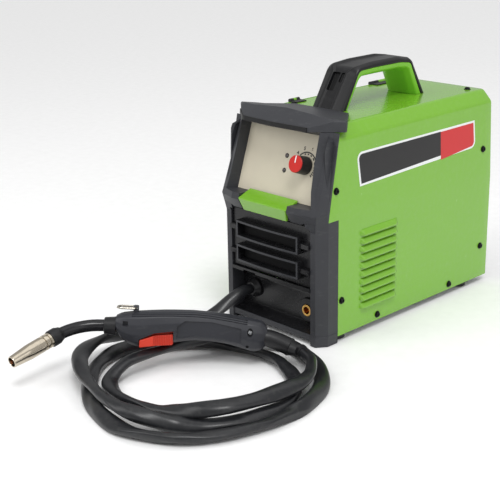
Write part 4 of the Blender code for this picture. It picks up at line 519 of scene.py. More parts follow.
class Shape:
    """A mesh in millimetres that Blender's mesh operators shape."""

    def __init__(self) -> None:
        """Starts with no mesh."""
        self.bm = bmesh.new()

    @classmethod
    def block(cls, low: Point, high: Point) -> "Shape":
        """A block between two corners.

        Args:
            low: The lowest corner.
            high: The highest corner.

        Returns:
            The closed shape.
        """
        shape = cls()
        bmesh.ops.create_cube(shape.bm, size=1.0)
        size, middle = Vector(high) - Vector(low), (Vector(high) + Vector(low)) / 2
        bmesh.ops.scale(shape.bm, vec=size, verts=shape.bm.verts)
        bmesh.ops.translate(shape.bm, vec=middle, verts=shape.bm.verts)
        return shape

    @classmethod
    def turned(cls, profile: Iterable[Point], sides: int = 48, ring: bool = False) -> "Shape":
        """A profile spun about +Z.

        Args:
            profile: Points as (radius, height).
            sides: Steps round the axis.
            ring: Whether the profile closes on itself.

        Returns:
            The closed shape.
        """
        shape = cls()
        verts = [shape.bm.verts.new((radius, 0, height)) for radius, height in profile]
        edges = [shape.bm.edges.new(pair) for pair in zip(verts, verts[1:])]
        if ring:
            edges.append(shape.bm.edges.new((verts[-1], verts[0])))
        bmesh.ops.spin(shape.bm, geom=verts + edges, cent=(0, 0, 0), axis=(0, 0, 1),
                       angle=2 * math.pi, steps=sides, use_merge=True)
        return shape.clean()

    @classmethod
    def rod(cls, radius: float, low: float, high: float, sides: int) -> "Shape":
        """A rod about +Z, between two heights."""
        return cls.turned(((0, low), (radius, low), (radius, high), (0, high)), sides)

    @classmethod
    def loft(cls, rings: Sequence[Sequence[Point]]) -> "Shape":
        """A closed skin through rings with as many points each.

        Args:
            rings: The rings, in order.

        Returns:
            The closed shape.
        """
        shape = cls()
        loops = [shape.loop(ring) for ring in rings]
        for before, after in zip(loops, loops[1:]):
            bmesh.ops.bridge_loops(shape.bm, edges=before + after)
        for end in (loops[0], loops[-1]):
            bmesh.ops.edgeloop_fill(shape.bm, edges=end)
        return shape.clean()

    def loop(self, points: Sequence[Point], closed: bool = True) -> list[bmesh.types.BMEdge]:
        """Adds a line of edges.

        Args:
            points: The line's points.
            closed: Whether it closes on itself.

        Returns:
            The edges.
        """
        verts = [self.bm.verts.new(point) for point in points]
        ends = verts[1:] + verts[:1] if closed else verts[1:]
        return [self.bm.edges.new(pair) for pair in zip(verts, ends)]

    @classmethod
    def extruded(cls, outline: Sequence[Point], depth: Point) -> "Shape":
        """A flat outline, extruded.

        Args:
            outline: The outline's 3-D points.
            depth: The vector that it is extruded by.

        Returns:
            The closed shape.
        """
        shape = cls()
        shape.bm.faces.new([shape.bm.verts.new(point) for point in outline])
        made = bmesh.ops.extrude_face_region(shape.bm, geom=list(shape.bm.faces))
        moved = [item for item in made["geom"] if isinstance(item, bmesh.types.BMVert)]
        bmesh.ops.translate(shape.bm, vec=Vector(depth), verts=moved)
        return shape.clean()

    @classmethod
    def of_node(cls, node: str) -> "Shape":
        """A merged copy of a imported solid, brought back to millimetres.

        Args:
            node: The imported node.

        Returns:
            The copy.
        """
        shape = cls()
        shape.bm.from_mesh(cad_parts[node].data)
        shape.bm.transform(TO_FRAME.inverted())
        bmesh.ops.remove_doubles(shape.bm, verts=shape.bm.verts, dist=0.004)
        bmesh.ops.dissolve_limit(shape.bm, angle_limit=math.radians(0.6),
                                 verts=shape.bm.verts, edges=shape.bm.edges)
        return shape

    def read(self, source: bpy.types.Object) -> "Shape":
        """Takes in an object's mesh as the viewport evaluates it, and deletes the object.

        Args:
            source: The object.

        Returns:
            The shape.
        """
        bpy.context.view_layer.update()
        solid = source.evaluated_get(bpy.context.evaluated_depsgraph_get())
        self.bm.from_mesh(solid.to_mesh())
        solid.to_mesh_clear()
        bpy.data.objects.remove(source)
        return self

    def mesh(self, name: str) -> bpy.types.Mesh:
        """Turns the shape into mesh data, which uses it up.

        Args:
            name: The mesh's name.

        Returns:
            The mesh.
        """
        made = bpy.data.meshes.new(name)
        self.bm.to_mesh(made)
        self.bm.free()
        return made

    def clean(self) -> "Shape":
        """Merges doubles and points the faces outwards."""
        bmesh.ops.remove_doubles(self.bm, verts=self.bm.verts, dist=0.001)
        bmesh.ops.recalc_face_normals(self.bm, faces=self.bm.faces)
        return self

    def towards(self, direction: Point) -> "Shape":
        """Turns an open sheet over if most of it looks away from a direction.

        Args:
            direction: The direction that its front looks in.

        Returns:
            The shape.
        """
        bmesh.ops.recalc_face_normals(self.bm, faces=self.bm.faces)
        if sum(face.normal.dot(Vector(direction)) for face in self.bm.faces) < 0:
            bmesh.ops.reverse_faces(self.bm, faces=self.bm.faces)
        return self

    def add(self, *others: "Shape") -> "Shape":
        """Takes in other shapes as they are.

        Args:
            others: The shapes, which are used up.

        Returns:
            The shape.
        """
        for other in others:
            mesh = other.mesh("part")
            self.bm.from_mesh(mesh)
            bpy.data.meshes.remove(mesh)
        return self

    def moved(self, matrix: Matrix) -> "Shape":
        """The shape taken through a matrix."""
        self.bm.transform(matrix)
        return self

    def rounded(self, width: float, segments: int = 2, sharper: float = 25.0) -> "Shape":
        """Rounds edges.

        Args:
            width: Bevel width in millimetres.
            segments: Bevel segments.
            sharper: Least angle between an edge's faces, in degrees.

        Returns:
            The shape.
        """
        edges = [edge for edge in self.bm.edges if len(edge.link_faces) == 2
                 and edge.calc_face_angle(0.0) > math.radians(sharper)]
        bmesh.ops.bevel(self.bm, geom=edges, offset=width, offset_type="OFFSET",
                        segments=segments, profile=0.5, affect="EDGES", clamp_overlap=True,
                        material=-1)
        return self

    def sliced(self, point: Point, normal: Point) -> "Shape":
        """Cuts the faces along a plane and keeps both sides.

        Args:
            point: A point of the plane.
            normal: The plane's normal.

        Returns:
            The shape.
        """
        geometry = [*self.bm.verts, *self.bm.edges, *self.bm.faces]
        bmesh.ops.bisect_plane(self.bm, geom=geometry, dist=0.0005, plane_co=Vector(point),
                               plane_no=Vector(normal))
        return self

    def without(self, test: Callable[[bmesh.types.BMFace], bool]) -> "Shape":
        """Deletes the faces that pass a test."""
        gone = [face for face in self.bm.faces if test(face)]
        bmesh.ops.delete(self.bm, geom=gone, context="FACES")
        return self

    def carved(self, *cutters: "Shape", operation: str = "DIFFERENCE") -> "Shape":
        """Cuts other closed shapes out, or joins them on.

        Args:
            cutters: The other shapes, which are used up.
            operation: The Boolean modifier's operation.

        Returns:
            The shape.
        """
        for cutter in cutters:
            meshes = [self.mesh("carving"), cutter.mesh("carving")]
            solid, other = (linked("carving", mesh) for mesh in meshes)
            tool = solid.modifiers.new("cut", "BOOLEAN")
            tool.operation, tool.solver, tool.object = operation, "EXACT", other
            self.bm = bmesh.new()
            self.read(solid)
            bpy.data.objects.remove(other)
            for mesh in meshes:
                bpy.data.meshes.remove(mesh)
        return self

    def piece(self, name: str, finish: Finish, body: str = "machine",
              instead_of: Sequence[str] = (), smooth: float = 35.0,
              shell: float = 0.0) -> bpy.types.Object:
        """Makes the shape an object that rides on a body.

        Args:
            name: The object's name.
            finish: What it is made of.
            body: The body it rides on.
            instead_of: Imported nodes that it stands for.
            smooth: Edges sharper than this many degrees stay sharp.
            shell: Wall that a Solidify modifier gives an open sheet, inwards, in millimetres.

        Returns:
            The object.
        """
        mesh = self.moved(TO_FRAME).mesh(name)
        mesh.shade_smooth()
        mesh.set_sharp_from_angle(angle=math.radians(smooth))
        mesh.materials.append(material(finish))
        made = linked(name, mesh)
        if shell:
            wall = made.modifiers.new("sheet", "SOLIDIFY")
            wall.thickness, wall.offset, wall.use_even_offset = shell * MM, -1.0, True
        made.modifiers.new("even shading", "WEIGHTED_NORMAL").keep_sharp = True
        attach(made, body)
        if instead_of:
            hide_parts(*instead_of)
        LOG.info("%s: %d faces on %s", name, len(mesh.polygons), body)
        return made


def facing(place: Point, direction: Point, roll: float = 0.0) -> Matrix:
    """The matrix that takes a shape made along +Z to a place and a direction."""
    turn = Vector((0, 0, 1)).rotation_difference(Vector(direction).normalized())
    return (Matrix.Translation(Vector(place)) @ turn.to_matrix().to_4x4()
            @ Matrix.Rotation(roll, 4, "Z"))


def eased(corners: Sequence[Point], reach: float | Sequence[float], steps: int = 4,
          closed: bool = False) -> list[Vector]:
    """Rounds the corners of a line.

    Args:
        corners: The line's corners.
        reach: How far from a corner its curve starts, for all corners or for each.
        steps: Stretches in each curve.
        closed: Whether the line closes on itself.

    Returns:
        The rounded line.
    """
    knots = [Vector(corner) for corner in corners]
    count = len(knots)
    reaches = [reach] * count if isinstance(reach, (int, float)) else list(reach)
    line = [] if closed else [knots[0]]
    for index in range(count) if closed else range(1, count - 1):
        before, here, after = knots[index - 1], knots[index], knots[(index + 1) % count]
        start = here + (before - here) * min(reaches[index] / (before - here).length, 0.45)
        end = here + (after - here) * min(reaches[index] / (after - here).length, 0.45)
        for step in range(steps + 1):
            t = step / steps
            line.append(start.lerp(here, t).lerp(here.lerp(end, t), t))
    return line if closed else [*line, knots[-1]]


def stepped(knots: Sequence[Point], steps: int) -> list[Vector]:
    """Splits each stretch of a line evenly.

    Args:
        knots: The line's points.
        steps: How many parts each stretch gets.

    Returns:
        The finer line.
    """
    line = [Vector(knot) for knot in knots]
    fine = [a.lerp(b, k / steps) for a, b in zip(line, line[1:]) for k in range(steps)]
    return [*fine, line[-1]]


def calmed(line: list[Vector], passes: int) -> list[Vector]:
    """Evens out a line between its ends.

    Args:
        line: The line.
        passes: How often each point moves towards its neighbours.

    Returns:
        The smoother line.
    """
    for _ in range(passes):
        inner = [0.25 * a + 0.5 * b + 0.25 * c for a, b, c in zip(line, line[1:], line[2:])]
        line = [line[0], *inner, line[-1]]
    return line


def oval(middle: Point, radii: Point, count: int, start: float = 0.0) -> list[Point]:
    """Points round an oval in a plane, from an angle in radians."""
    turns = [start + 2 * math.pi * k / count for k in range(count)]
    return [(middle[0] + radii[0] * math.cos(turn), middle[1] + radii[1] * math.sin(turn))
            for turn in turns]


def dress(node: str, finish: Finish) -> None:
    """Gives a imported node, whose shape is right as it is, its finish."""
    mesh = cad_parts[node].data
    mesh.materials.clear()
    mesh.materials.append(material(finish))


def softened(body: str, node: str, finish: Finish, width: float, segments: int = 2,
             sharper: float = 25.0, smooth: float = 35.0) -> None:
    """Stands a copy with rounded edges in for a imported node.

    Args:
        body: The body it rides on.
        node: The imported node.
        finish: What it is made of.
        width: How wide the edges are rounded, in millimetres.
        segments: Bevel segments.
        sharper: Least angle of a rounded edge, in degrees.
        smooth: Edges sharper than this many degrees stay sharp.
    """
    shape = Shape.of_node(node).rounded(width, segments, sharper)
    shape.piece(f"{node}_skin", finish, body, (node,), smooth)


@dataclass
class Assembly:
    """A group of pieces: nodes to round, with softened()'s arguments, and nodes to dress."""

    rounded: Sequence[tuple] = ()
    plain: Sequence[tuple[str, Finish]] = ()

    def build(self) -> None:
        """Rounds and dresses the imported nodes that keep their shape."""
        for row in self.rounded:
            softened(*row)
        for node, finish in self.plain:
            dress(node, finish)


# ---------------------------------------------------------------------------- case
@dataclass
class Housing(Assembly):
    """The bent steel cover with its louvres, screws, plates, door and feet."""

    rounded: Sequence[tuple] = (
        ("door", "left_door", GREEN, 0.4), ("latch", "door_latch", BLACK, 0.5),
        ("machine", "door_hinge_front", BLACK, 0.3), ("machine", "door_hinge_rear", BLACK, 0.3),
        ("machine", "foot_front_left", FOOT_RUBBER, 0.6),
        ("machine", "foot_front_right", FOOT_RUBBER, 0.6),
        ("machine", "foot_rear_left", FOOT_RUBBER, 0.6),
        ("machine", "foot_rear_right", FOOT_RUBBER, 0.6),
        ("machine", "base_chassis", ZINC, 0.3))
    half_width: float = 84.5
    length: float = 304.0
    bottom: float = 9.0
    top: float = 263.4
    crease_front: float = 163.0
    crease_rear: float = 150.0
    shoulder: Point = (80.1, 249.4)
    roof_half_width: float = 66.4
    sheet: float = 1.5
    spare: float = 3.0
    bend_radius: float = 3.0
    nose: Point = (-17.5, 155.5)
    brow_y: float = 2.0
    door_y: Point = (38.0, 290.0)
    door_low: float = 24.0
    roof_edge: float = -63.5
    louvre_y: Point = (38.5, 107.0)
    louvre_top: float = 131.0
    louvre_pitch: float = 10.4
    louvre_height: float = 7.4
    louvre_bulge: float = 4.8
    louvre_end: float = 5.0
    louvre_sunk: float = 0.2
    louvre_sheet: float = 0.9
    louvre_grid: tuple[int, int] = (26, 8)
    louvre_count: int = 10
    slot: Point = (-0.3, 3.4)
    slot_inset: float = 2.5
    washer: Sequence[Point] = ((0, 0), (4.4, 0), (4.4, 0.5), (4.1, 0.8), (0, 0.8))
    head: Sequence[Point] = ((0, 0.7), (3.3, 0.7), (3.3, 1.9), (2.9, 2.6), (2.0, 2.9), (0, 2.9))
    socket: Point = (1.5, 1.6, 4.0)
    side_screws: Sequence[Point] = (
        (-3.7, 190.7), (5.8, 53.8), (72.8, 16.4), (220.0, 16.4), (287.5, 53.5), (286.2, 187.9))
    left_screws: Sequence[Point] = ((-3.7, 190.7), (16.0, 53.8), (20.0, 220.0))
    roof_screws: Sequence[Point] = ((52.9, 287.6), (-53.5, 69.0))
    side_lean: float = 0.05
    plate: Sequence[Point] = ((34.8, 229.0), (266.7, 229.4), (268.2, 193.7), (38.2, 188.0))
    plate_corner: float = 9.0
    plate_rim: float = 2.6
    plate_red_from: float = 194.5

    def build(self) -> None:
        """Makes every piece of the case."""
        super().build()
        self.make_cover()
        self.make_louvres()
        self.make_screws()
        self.make_plate()

    def crease(self, y: float) -> float:
        """Height of the side's fold at a distance from the front."""
        return self.crease_front + (self.crease_rear - self.crease_front) * y / self.length

    def side_x(self, y: float, z: float) -> float:
        """Where the right side's outer face is."""
        share = max(0.0, (z - self.crease(y)) / (self.shoulder[1] - self.crease(y)))
        return self.half_width + (self.shoulder[0] - self.half_width) * share

    def section(self, y: float) -> list[Point]:
        """The cover's outer line at a distance from the front, from the left to the right."""
        right = [(self.half_width, self.bottom), (self.half_width, self.crease(y)),
                 tuple(self.shoulder), (self.roof_half_width, self.top)]
        return [(-x, y, z) for x, z in right] + [(x, y, z) for x, z in reversed(right)]

    def louvre_levels(self) -> list[float]:
        """Lower edges of the louvres, from the top one down."""
        return [self.louvre_top - self.louvre_height / 2 - k * self.louvre_pitch
                for k in range(self.louvre_count)]

    def make_cover(self) -> None:
        """The sheet: bent, trimmed at the nose, and cut for the door and the louvres."""
        sheet, (nose_y, nose_z) = Shape(), self.nose
        rows = [sheet.loop(self.section(y), False) for y in (nose_y - self.spare, self.length)]
        bmesh.ops.bridge_loops(sheet.bm, edges=rows[0] + rows[1])
        sheet.towards((0, 0, 1)).rounded(self.bend_radius, 4, 1.0)
        rise, run = self.top - nose_z, self.brow_y - nose_y
        ends = (self.louvre_y[0] + self.slot_inset, self.louvre_y[1] - self.slot_inset)
        slots = [tuple(low + edge for edge in self.slot) for low in self.louvre_levels()]
        sheet.sliced((0, nose_y, nose_z), (0, rise, -run))
        sheet.sliced((self.roof_edge, 0, 0), (1, 0, 0))
        for y in (0, *self.door_y, *ends):
            sheet.sliced((0, y, 0), (0, 1, 0))
        for z in (nose_z, self.door_low, *(edge for slot in slots for edge in slot)):
            sheet.sliced((0, 0, z), (0, 0, 1))

        def cut_away(face: bmesh.types.BMFace) -> bool:
            """Whether a face lies before the nose, in the door's window or in a slot.

            Args:
                face: A face that crosses none of their edges.

            Returns:
                True for a face to delete.
            """
            x, y, z = face.calc_center_median()
            trimmed = y < (nose_y + run / rise * (z - nose_z) if z > nose_z else 0)
            window = (x < self.roof_edge and z > self.door_low
                      and self.door_y[0] < y < self.door_y[1])
            slotted = (x > self.half_width - 1 and ends[0] < y < ends[1]
                       and any(low < z < high for low, high in slots))
            return trimmed or window or slotted

        sheet.without(cut_away).piece("cover_sheet", GREEN, "machine", ("cover",), 20, self.sheet)

    def make_louvres(self) -> None:
        """Ten pressed hoods, each a bulging sheet that is open below."""
        hoods = Shape()
        front, rear = self.louvre_y
        columns, rows = self.louvre_grid
        for low in self.louvre_levels():
            hood = Shape()
            bmesh.ops.create_grid(hood.bm, x_segments=columns, y_segments=rows, size=0.5)
            for vert in hood.bm.verts:
                along, up = vert.co.x + 0.5, vert.co.y + 0.5
                end = min(1.0, min(along, 1 - along) * (rear - front) / self.louvre_end)
                swell = math.sqrt(max(0.0, 1 - (1 - end) ** 2)) * math.cos(up * math.pi / 2) ** 0.7
                vert.co = (self.half_width - self.louvre_sunk + self.louvre_bulge * swell,
                           front + (rear - front) * along, low + self.louvre_height * up)
            hoods.add(hood.towards((1, 0, 0)))
        hoods.piece("louvre_hoods", GREEN, "machine", (), 60, self.louvre_sheet)

    def make_screws(self) -> None:
        """The screws of both sides and the roof."""
        heads = Shape()
        spots = [((x, y, self.top), (0, 0, 1)) for x, y in self.roof_screws]
        for side, screws in ((1, self.side_screws), (-1, self.left_screws)):
            for y, z in screws:
                lean = self.side_lean if z >= self.crease(y) else 0.0
                spots.append(((side * self.side_x(y, z), y, z), (side, 0, lean)))
        for place, out in spots:
            radius, low, high = self.socket
            head = Shape.turned(self.head, 32).carved(Shape.rod(radius, low, high, 6))
            heads.add(Shape.turned(self.washer, 32).add(head).moved(facing(place, out)))
        heads.piece("cover_screws", BLACK_SCREW)

    def plate_outline(self, inset: float, out: float, from_y: float, to_y: float) -> list[Point]:
        """The plate's outline on the leaning side, drawn in by an inset.

        Args:
            inset: Millimetres from the plate's edge.
            out: Millimetres that the outline stands off the side.
            from_y: Front limit.
            to_y: Rear limit.

        Returns:
            The points, in order.
        """
        inwards = ((1, -1), (-1, -1), (-1, 1), (1, 1))
        flat = [(y + inset * a, z + inset * b) for (y, z), (a, b) in zip(self.plate, inwards)]
        radius = max(1.0, self.plate_corner - inset)
        points: list[Point] = []
        for index, (y, z) in enumerate(flat):
            if index in (1, 3):
                points.append((y, z))
                continue
            sign = 1 if index == 0 else -1
            for step in range(7):
                turn = (math.pi if index == 0 else 0.0) - step / 6 * math.pi / 2
                points.append((y + radius * (sign + math.cos(turn)),
                               z - radius * (sign - math.sin(turn))))
        line = [(min(max(y, from_y), to_y), z) for y, z in points]
        return [(self.side_x(y, z) + out, y, z) for y, z in line]

    def make_plate(self) -> None:
        """A blank plate: white edge, dark field and a red end."""
        rim, red, far = self.plate_rim, self.plate_red_from, 1e3
        layers = ((0.0, 0.05, 0.25, -far, far, PRINT_WHITE, "plate_edge"),
                  (rim, 0.30, 0.06, -far, red, PRINT_BLACK, "plate_field"),
                  (rim, 0.30, 0.06, red, far, PRINT_RED, "plate_end"))
        for inset, out, thick, from_y, to_y, finish, name in layers:
            outline = self.plate_outline(inset, out, from_y, to_y)
            Shape.extruded(outline, (thick, 0, 0)).piece(name, finish)


# ---------------------------------------------------------------------------- front
@dataclass
class FrontMoulding(Assembly):
    """Head, columns, foot, hood, belt plate, grille and the hollow lower panel."""

    rounded: Sequence[tuple] = (
        ("machine", "front_bezel", CHARCOAL, 1.2, 3, 12), ("machine", "bezel_foot", CHARCOAL, 1.0),
        ("machine", "front_hood", CHARCOAL, 1.2, 3, 14), ("machine", "bezel_badge", GREEN, 0.8, 3),
        ("machine", "front_grille", GLOSS_BLACK, 0.7, 2),
        ("machine", "lower_recess", GLOSS_BLACK, 0.6, 2, 40, 50),
        ("machine", "hose_gland", SOCKET_BLACK, 0.5), ("machine", "socket_body", SOCKET_BLACK, 0.5),
        ("machine", "socket_bush", BRASS, 0.4))
    plain: Sequence[tuple[str, Finish]] = (("gland_nut", BLACK),)
    panel_edge: float = 63.6
    wing_corner: Sequence[Point] = ((79.6, -33.0, 164.0), (75.9, -3.3, 252.0))
    wing_break: Sequence[Point] = ((52.5, -42.8, 165.0), (52.5, -20.2, 258.5))
    rim: Sequence[Point] = ((163.5, 72.5), (192.0, 67.0), (225.0, 64.5), (258.0, 63.8))
    rim_width: float = 9.0
    rim_limit: float = 78.0
    cheek_depth: float = 4.0
    cheek_sunk: Point = (0.2, 0.25)
    cheek_round: float = 0.8
    lip_line: Sequence[Point] = (
        (-73.4, -5.4, 266.2), (-68.0, -9.6, 265.0), (-52.5, -21.2, 263.0), (0.0, -24.4, 263.0),
        (52.9, -21.2, 263.0))
    lip_section: Sequence[Point] = ((-0.1, 0.5), (-0.6, -4.9), (2.4, -4.9), (3.0, 0.5))
    lip_corner: float = 5.0
    lip_round: float = 0.4
    # depth range and side inset of the painted-shade block behind the grille
    shade_block: Point = (0.3, 0.7)
    shade_block_inset: float = 1.0
    # the painted-highlight sheet on the grille frames' forward faces
    rim_round: float = 0.7
    rim_slope: float = -0.6
    rim_reach: float = 5.0
    rim_lift: float = 0.12
    rim_sheet: float = 0.3

    def build(self) -> None:
        """Makes every piece of the front."""
        super().build()
        self.make_cheeks()
        self.make_lip()
        self.make_grille_shade_and_highlight()

    def wing(self, x: float, z: float) -> float:
        """How far forward the head's angled wing lies.

        Args:
            x: Distance from the middle of the case.
            z: Height.

        Returns:
            The wing's y.
        """
        corner, inner = (Vector(low).lerp(Vector(high), (z - low[2]) / (high[2] - low[2]))
                         for low, high in (self.wing_corner, self.wing_break))
        return inner.y + (corner.y - inner.y) * (x - inner.x) / (corner.x - inner.x)

    def make_cheeks(self) -> None:
        """The walls between the panel and the rims of the head's wings, one on each side."""
        cheeks, (inner, outer) = Shape(), self.cheek_sunk
        for side in (-1, 1):
            rings = []
            for z, rim in stepped(self.rim, 4):
                face = PANEL_FOOT[0] + (z - PANEL_FOOT[1]) * math.tan(PANEL_TILT)
                far, back = min(rim + self.rim_width, self.rim_limit), face + self.cheek_depth
                rings.append([(side * self.panel_edge, face - inner, z),
                              (side * rim, self.wing(rim, z) - outer, z),
                              (side * far, self.wing(far, z) - outer, z),
                              (side * far, back, z), (side * self.panel_edge, back, z)])
            cheeks.add(Shape.loft(rings).rounded(self.cheek_round, 2, 30))
        cheeks.piece("panel_cheeks", CHARCOAL)

    def make_lip(self) -> None:
        """The black lip below the hood's front edge."""
        rings = [[(x, y + back, z + up) for back, up in self.lip_section]
                 for x, y, z in eased(self.lip_line, self.lip_corner)]
        Shape.loft(rings).rounded(self.lip_round, 2, 40).piece("hood_lip", DEEP_BLACK)

    def make_grille_shade_and_highlight(self) -> None:
        """Painted shade: a dark block behind the grille; painted highlight: paler frame fronts."""
        low, high = (TO_FRAME.inverted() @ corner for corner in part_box("front_grille"))
        (near, far), inset = (high.y + step for step in self.shade_block), self.shade_block_inset
        # painted shade: a near-black block behind the grille darkens its depths
        shade_block = Shape.block((low.x + inset, near, low.z + inset),
                            (high.x - inset, far, high.z - inset))
        shade_block.piece("grille_shade_block", PAINTED_SHADE_BLACK)
        # painted highlight: the grille's forward faces, copied as a thin paler sheet, stand in for
        # light on its frame fronts
        rim_highlight = Shape.of_node("front_grille").rounded(self.rim_round)
        rim_highlight.without(lambda face: face.normal.y > self.rim_slope
                     or face.calc_center_median().y > low.y + self.rim_reach)
        rim_highlight.moved(Matrix.Translation((0, -self.rim_lift, 0)))
        rim_highlight.piece("grille_rim_highlight", CHARCOAL, shell=self.rim_sheet)


# ---------------------------------------------------------------------------- controls
@dataclass
class ControlPanel(Assembly):
    """The tilted panel with its knob, scale and lamps."""

    rounded: Sequence[tuple] = (
        ("machine", "control_panel", BEIGE, 0.3), ("control_knob", "knob_body", BLACK, 0.7, 3),
        ("control_knob", "knob_cap", CAP_RED, 0.3, 2), ("machine", "power_lamp", LENS, 0.3),
        ("machine", "overheat_lamp", LENS, 0.3))
    plain: Sequence[tuple[str, Finish]] = (("potentiometer", ALLOY),)
    knob_at: Point = (38.0, 44.3)
    knob_top: float = 19.0
    pointer: Sequence[Point] = ((-0.75, 1.2, 0), (0.75, 9.6, 0.6))
    arc_radii: Point = (15.2, 16.7)
    arc_turns: Point = (138.0, 22.0)
    dash_radii: Point = (12.9, 14.6)
    dash_turns: Sequence[Point] = (
        (112.0, 104.0), (92.0, 83.0), (72.0, 62.0), (50.0, 36.0), (26.0, 13.0), (4.0, -6.0))
    tail_radii: Point = (13.4, 16.6)
    tail_turns: Point = (-12.0, -50.0)
    tail_marks: int = 4
    tail_share: float = 0.62
    print_levels: Point = (0.02, 0.08)
    digit_radius: float = 20.6
    digit_size: float = 5.9
    digit_swell: float = 0.2
    digit_half_depth: float = 0.04
    digits: Sequence[tuple[str, float]] = (("4", 141.0), ("5", 109.0), ("6", 75.0))
    lamps: Sequence[Point] = ((5.7, 51.3), (6.2, 33.5))
    lamp_ring: Point = (1.9, 2.9)

    def build(self) -> None:
        """Makes the panel, its print, the knob and the lamps."""
        super().build()
        plane = self.on_panel()
        marks = self.arc(*self.arc_radii, *self.arc_turns)
        for start, end in self.dash_turns:
            marks.add(self.arc(*self.dash_radii, start, end))
        pitch = (self.tail_turns[1] - self.tail_turns[0]) / self.tail_marks
        for k in range(self.tail_marks):
            start = self.tail_turns[0] + k * pitch
            marks.add(self.arc(*self.tail_radii, start, start + self.tail_share * pitch))
        for lamp in self.lamps:
            for half in (0, 180):
                marks.add(self.arc(*self.lamp_ring, half, half + 180, lamp))
        for text, turn in self.digits:
            marks.add(self.digit(text, math.radians(turn)))
        marks.moved(plane).piece("scale_print", PRINT_BLACK)
        pointer = Shape.block(*self.pointer).rounded(0.2)
        pointer.moved(plane @ Matrix.Translation((*self.knob_at, self.knob_top)))
        pointer.piece("knob_pointer", PRINT_WHITE, "control_knob")

    def on_panel(self) -> Matrix:
        """The matrix from the panel's plane, with x along it, y up it and z out of it."""
        sine, cosine = math.sin(PANEL_TILT), math.cos(PANEL_TILT)
        axes = Matrix(((1, 0, 0), (0, sine, -cosine), (0, cosine, sine))).to_4x4()
        return Matrix.Translation((0, *PANEL_FOOT)) @ axes

    def arc(self, inner: float, outer: float, start: float, end: float,
            centre: Point | None = None) -> Shape:
        """A flat piece of a ring printed on the panel.

        Args:
            inner: Inner radius.
            outer: Outer radius.
            start: First angle in degrees, from +x.
            end: Last angle.
            centre: The ring's centre, or None for the knob's.

        Returns:
            The shape on the panel's plane.
        """
        x, up = centre or self.knob_at
        low, thick = self.print_levels
        steps = max(2, round(abs(end - start) / 4))
        turns = [math.radians(start + (end - start) * k / steps) for k in range(steps + 1)]
        ring = [(inner, turn) for turn in turns] + [(outer, turn) for turn in reversed(turns)]
        outline = [(x + radius * math.cos(turn), up + radius * math.sin(turn), low)
                   for radius, turn in ring]
        return Shape.extruded(outline, (0, 0, thick))

    def digit(self, text: str, turn: float) -> Shape:
        """One digit of the scale, as a thin printed shape.

        Args:
            text: The digit.
            turn: Its angle round the knob, in radians.

        Returns:
            The shape on the panel's plane.
        """
        curve = bpy.data.curves.new("digit", "FONT")
        curve.body, curve.size = text, self.digit_size
        curve.align_x, curve.align_y = "CENTER", "CENTER"
        curve.extrude, curve.offset = self.digit_half_depth, self.digit_swell
        shape = Shape().read(linked("digit", curve)).clean()
        bpy.data.curves.remove(curve)
        x = self.knob_at[0] + self.digit_radius * math.cos(turn)
        up = self.knob_at[1] + self.digit_radius * math.sin(turn)
        return shape.moved(Matrix.Translation((x, up, sum(self.print_levels)
                                               - self.digit_half_depth)))


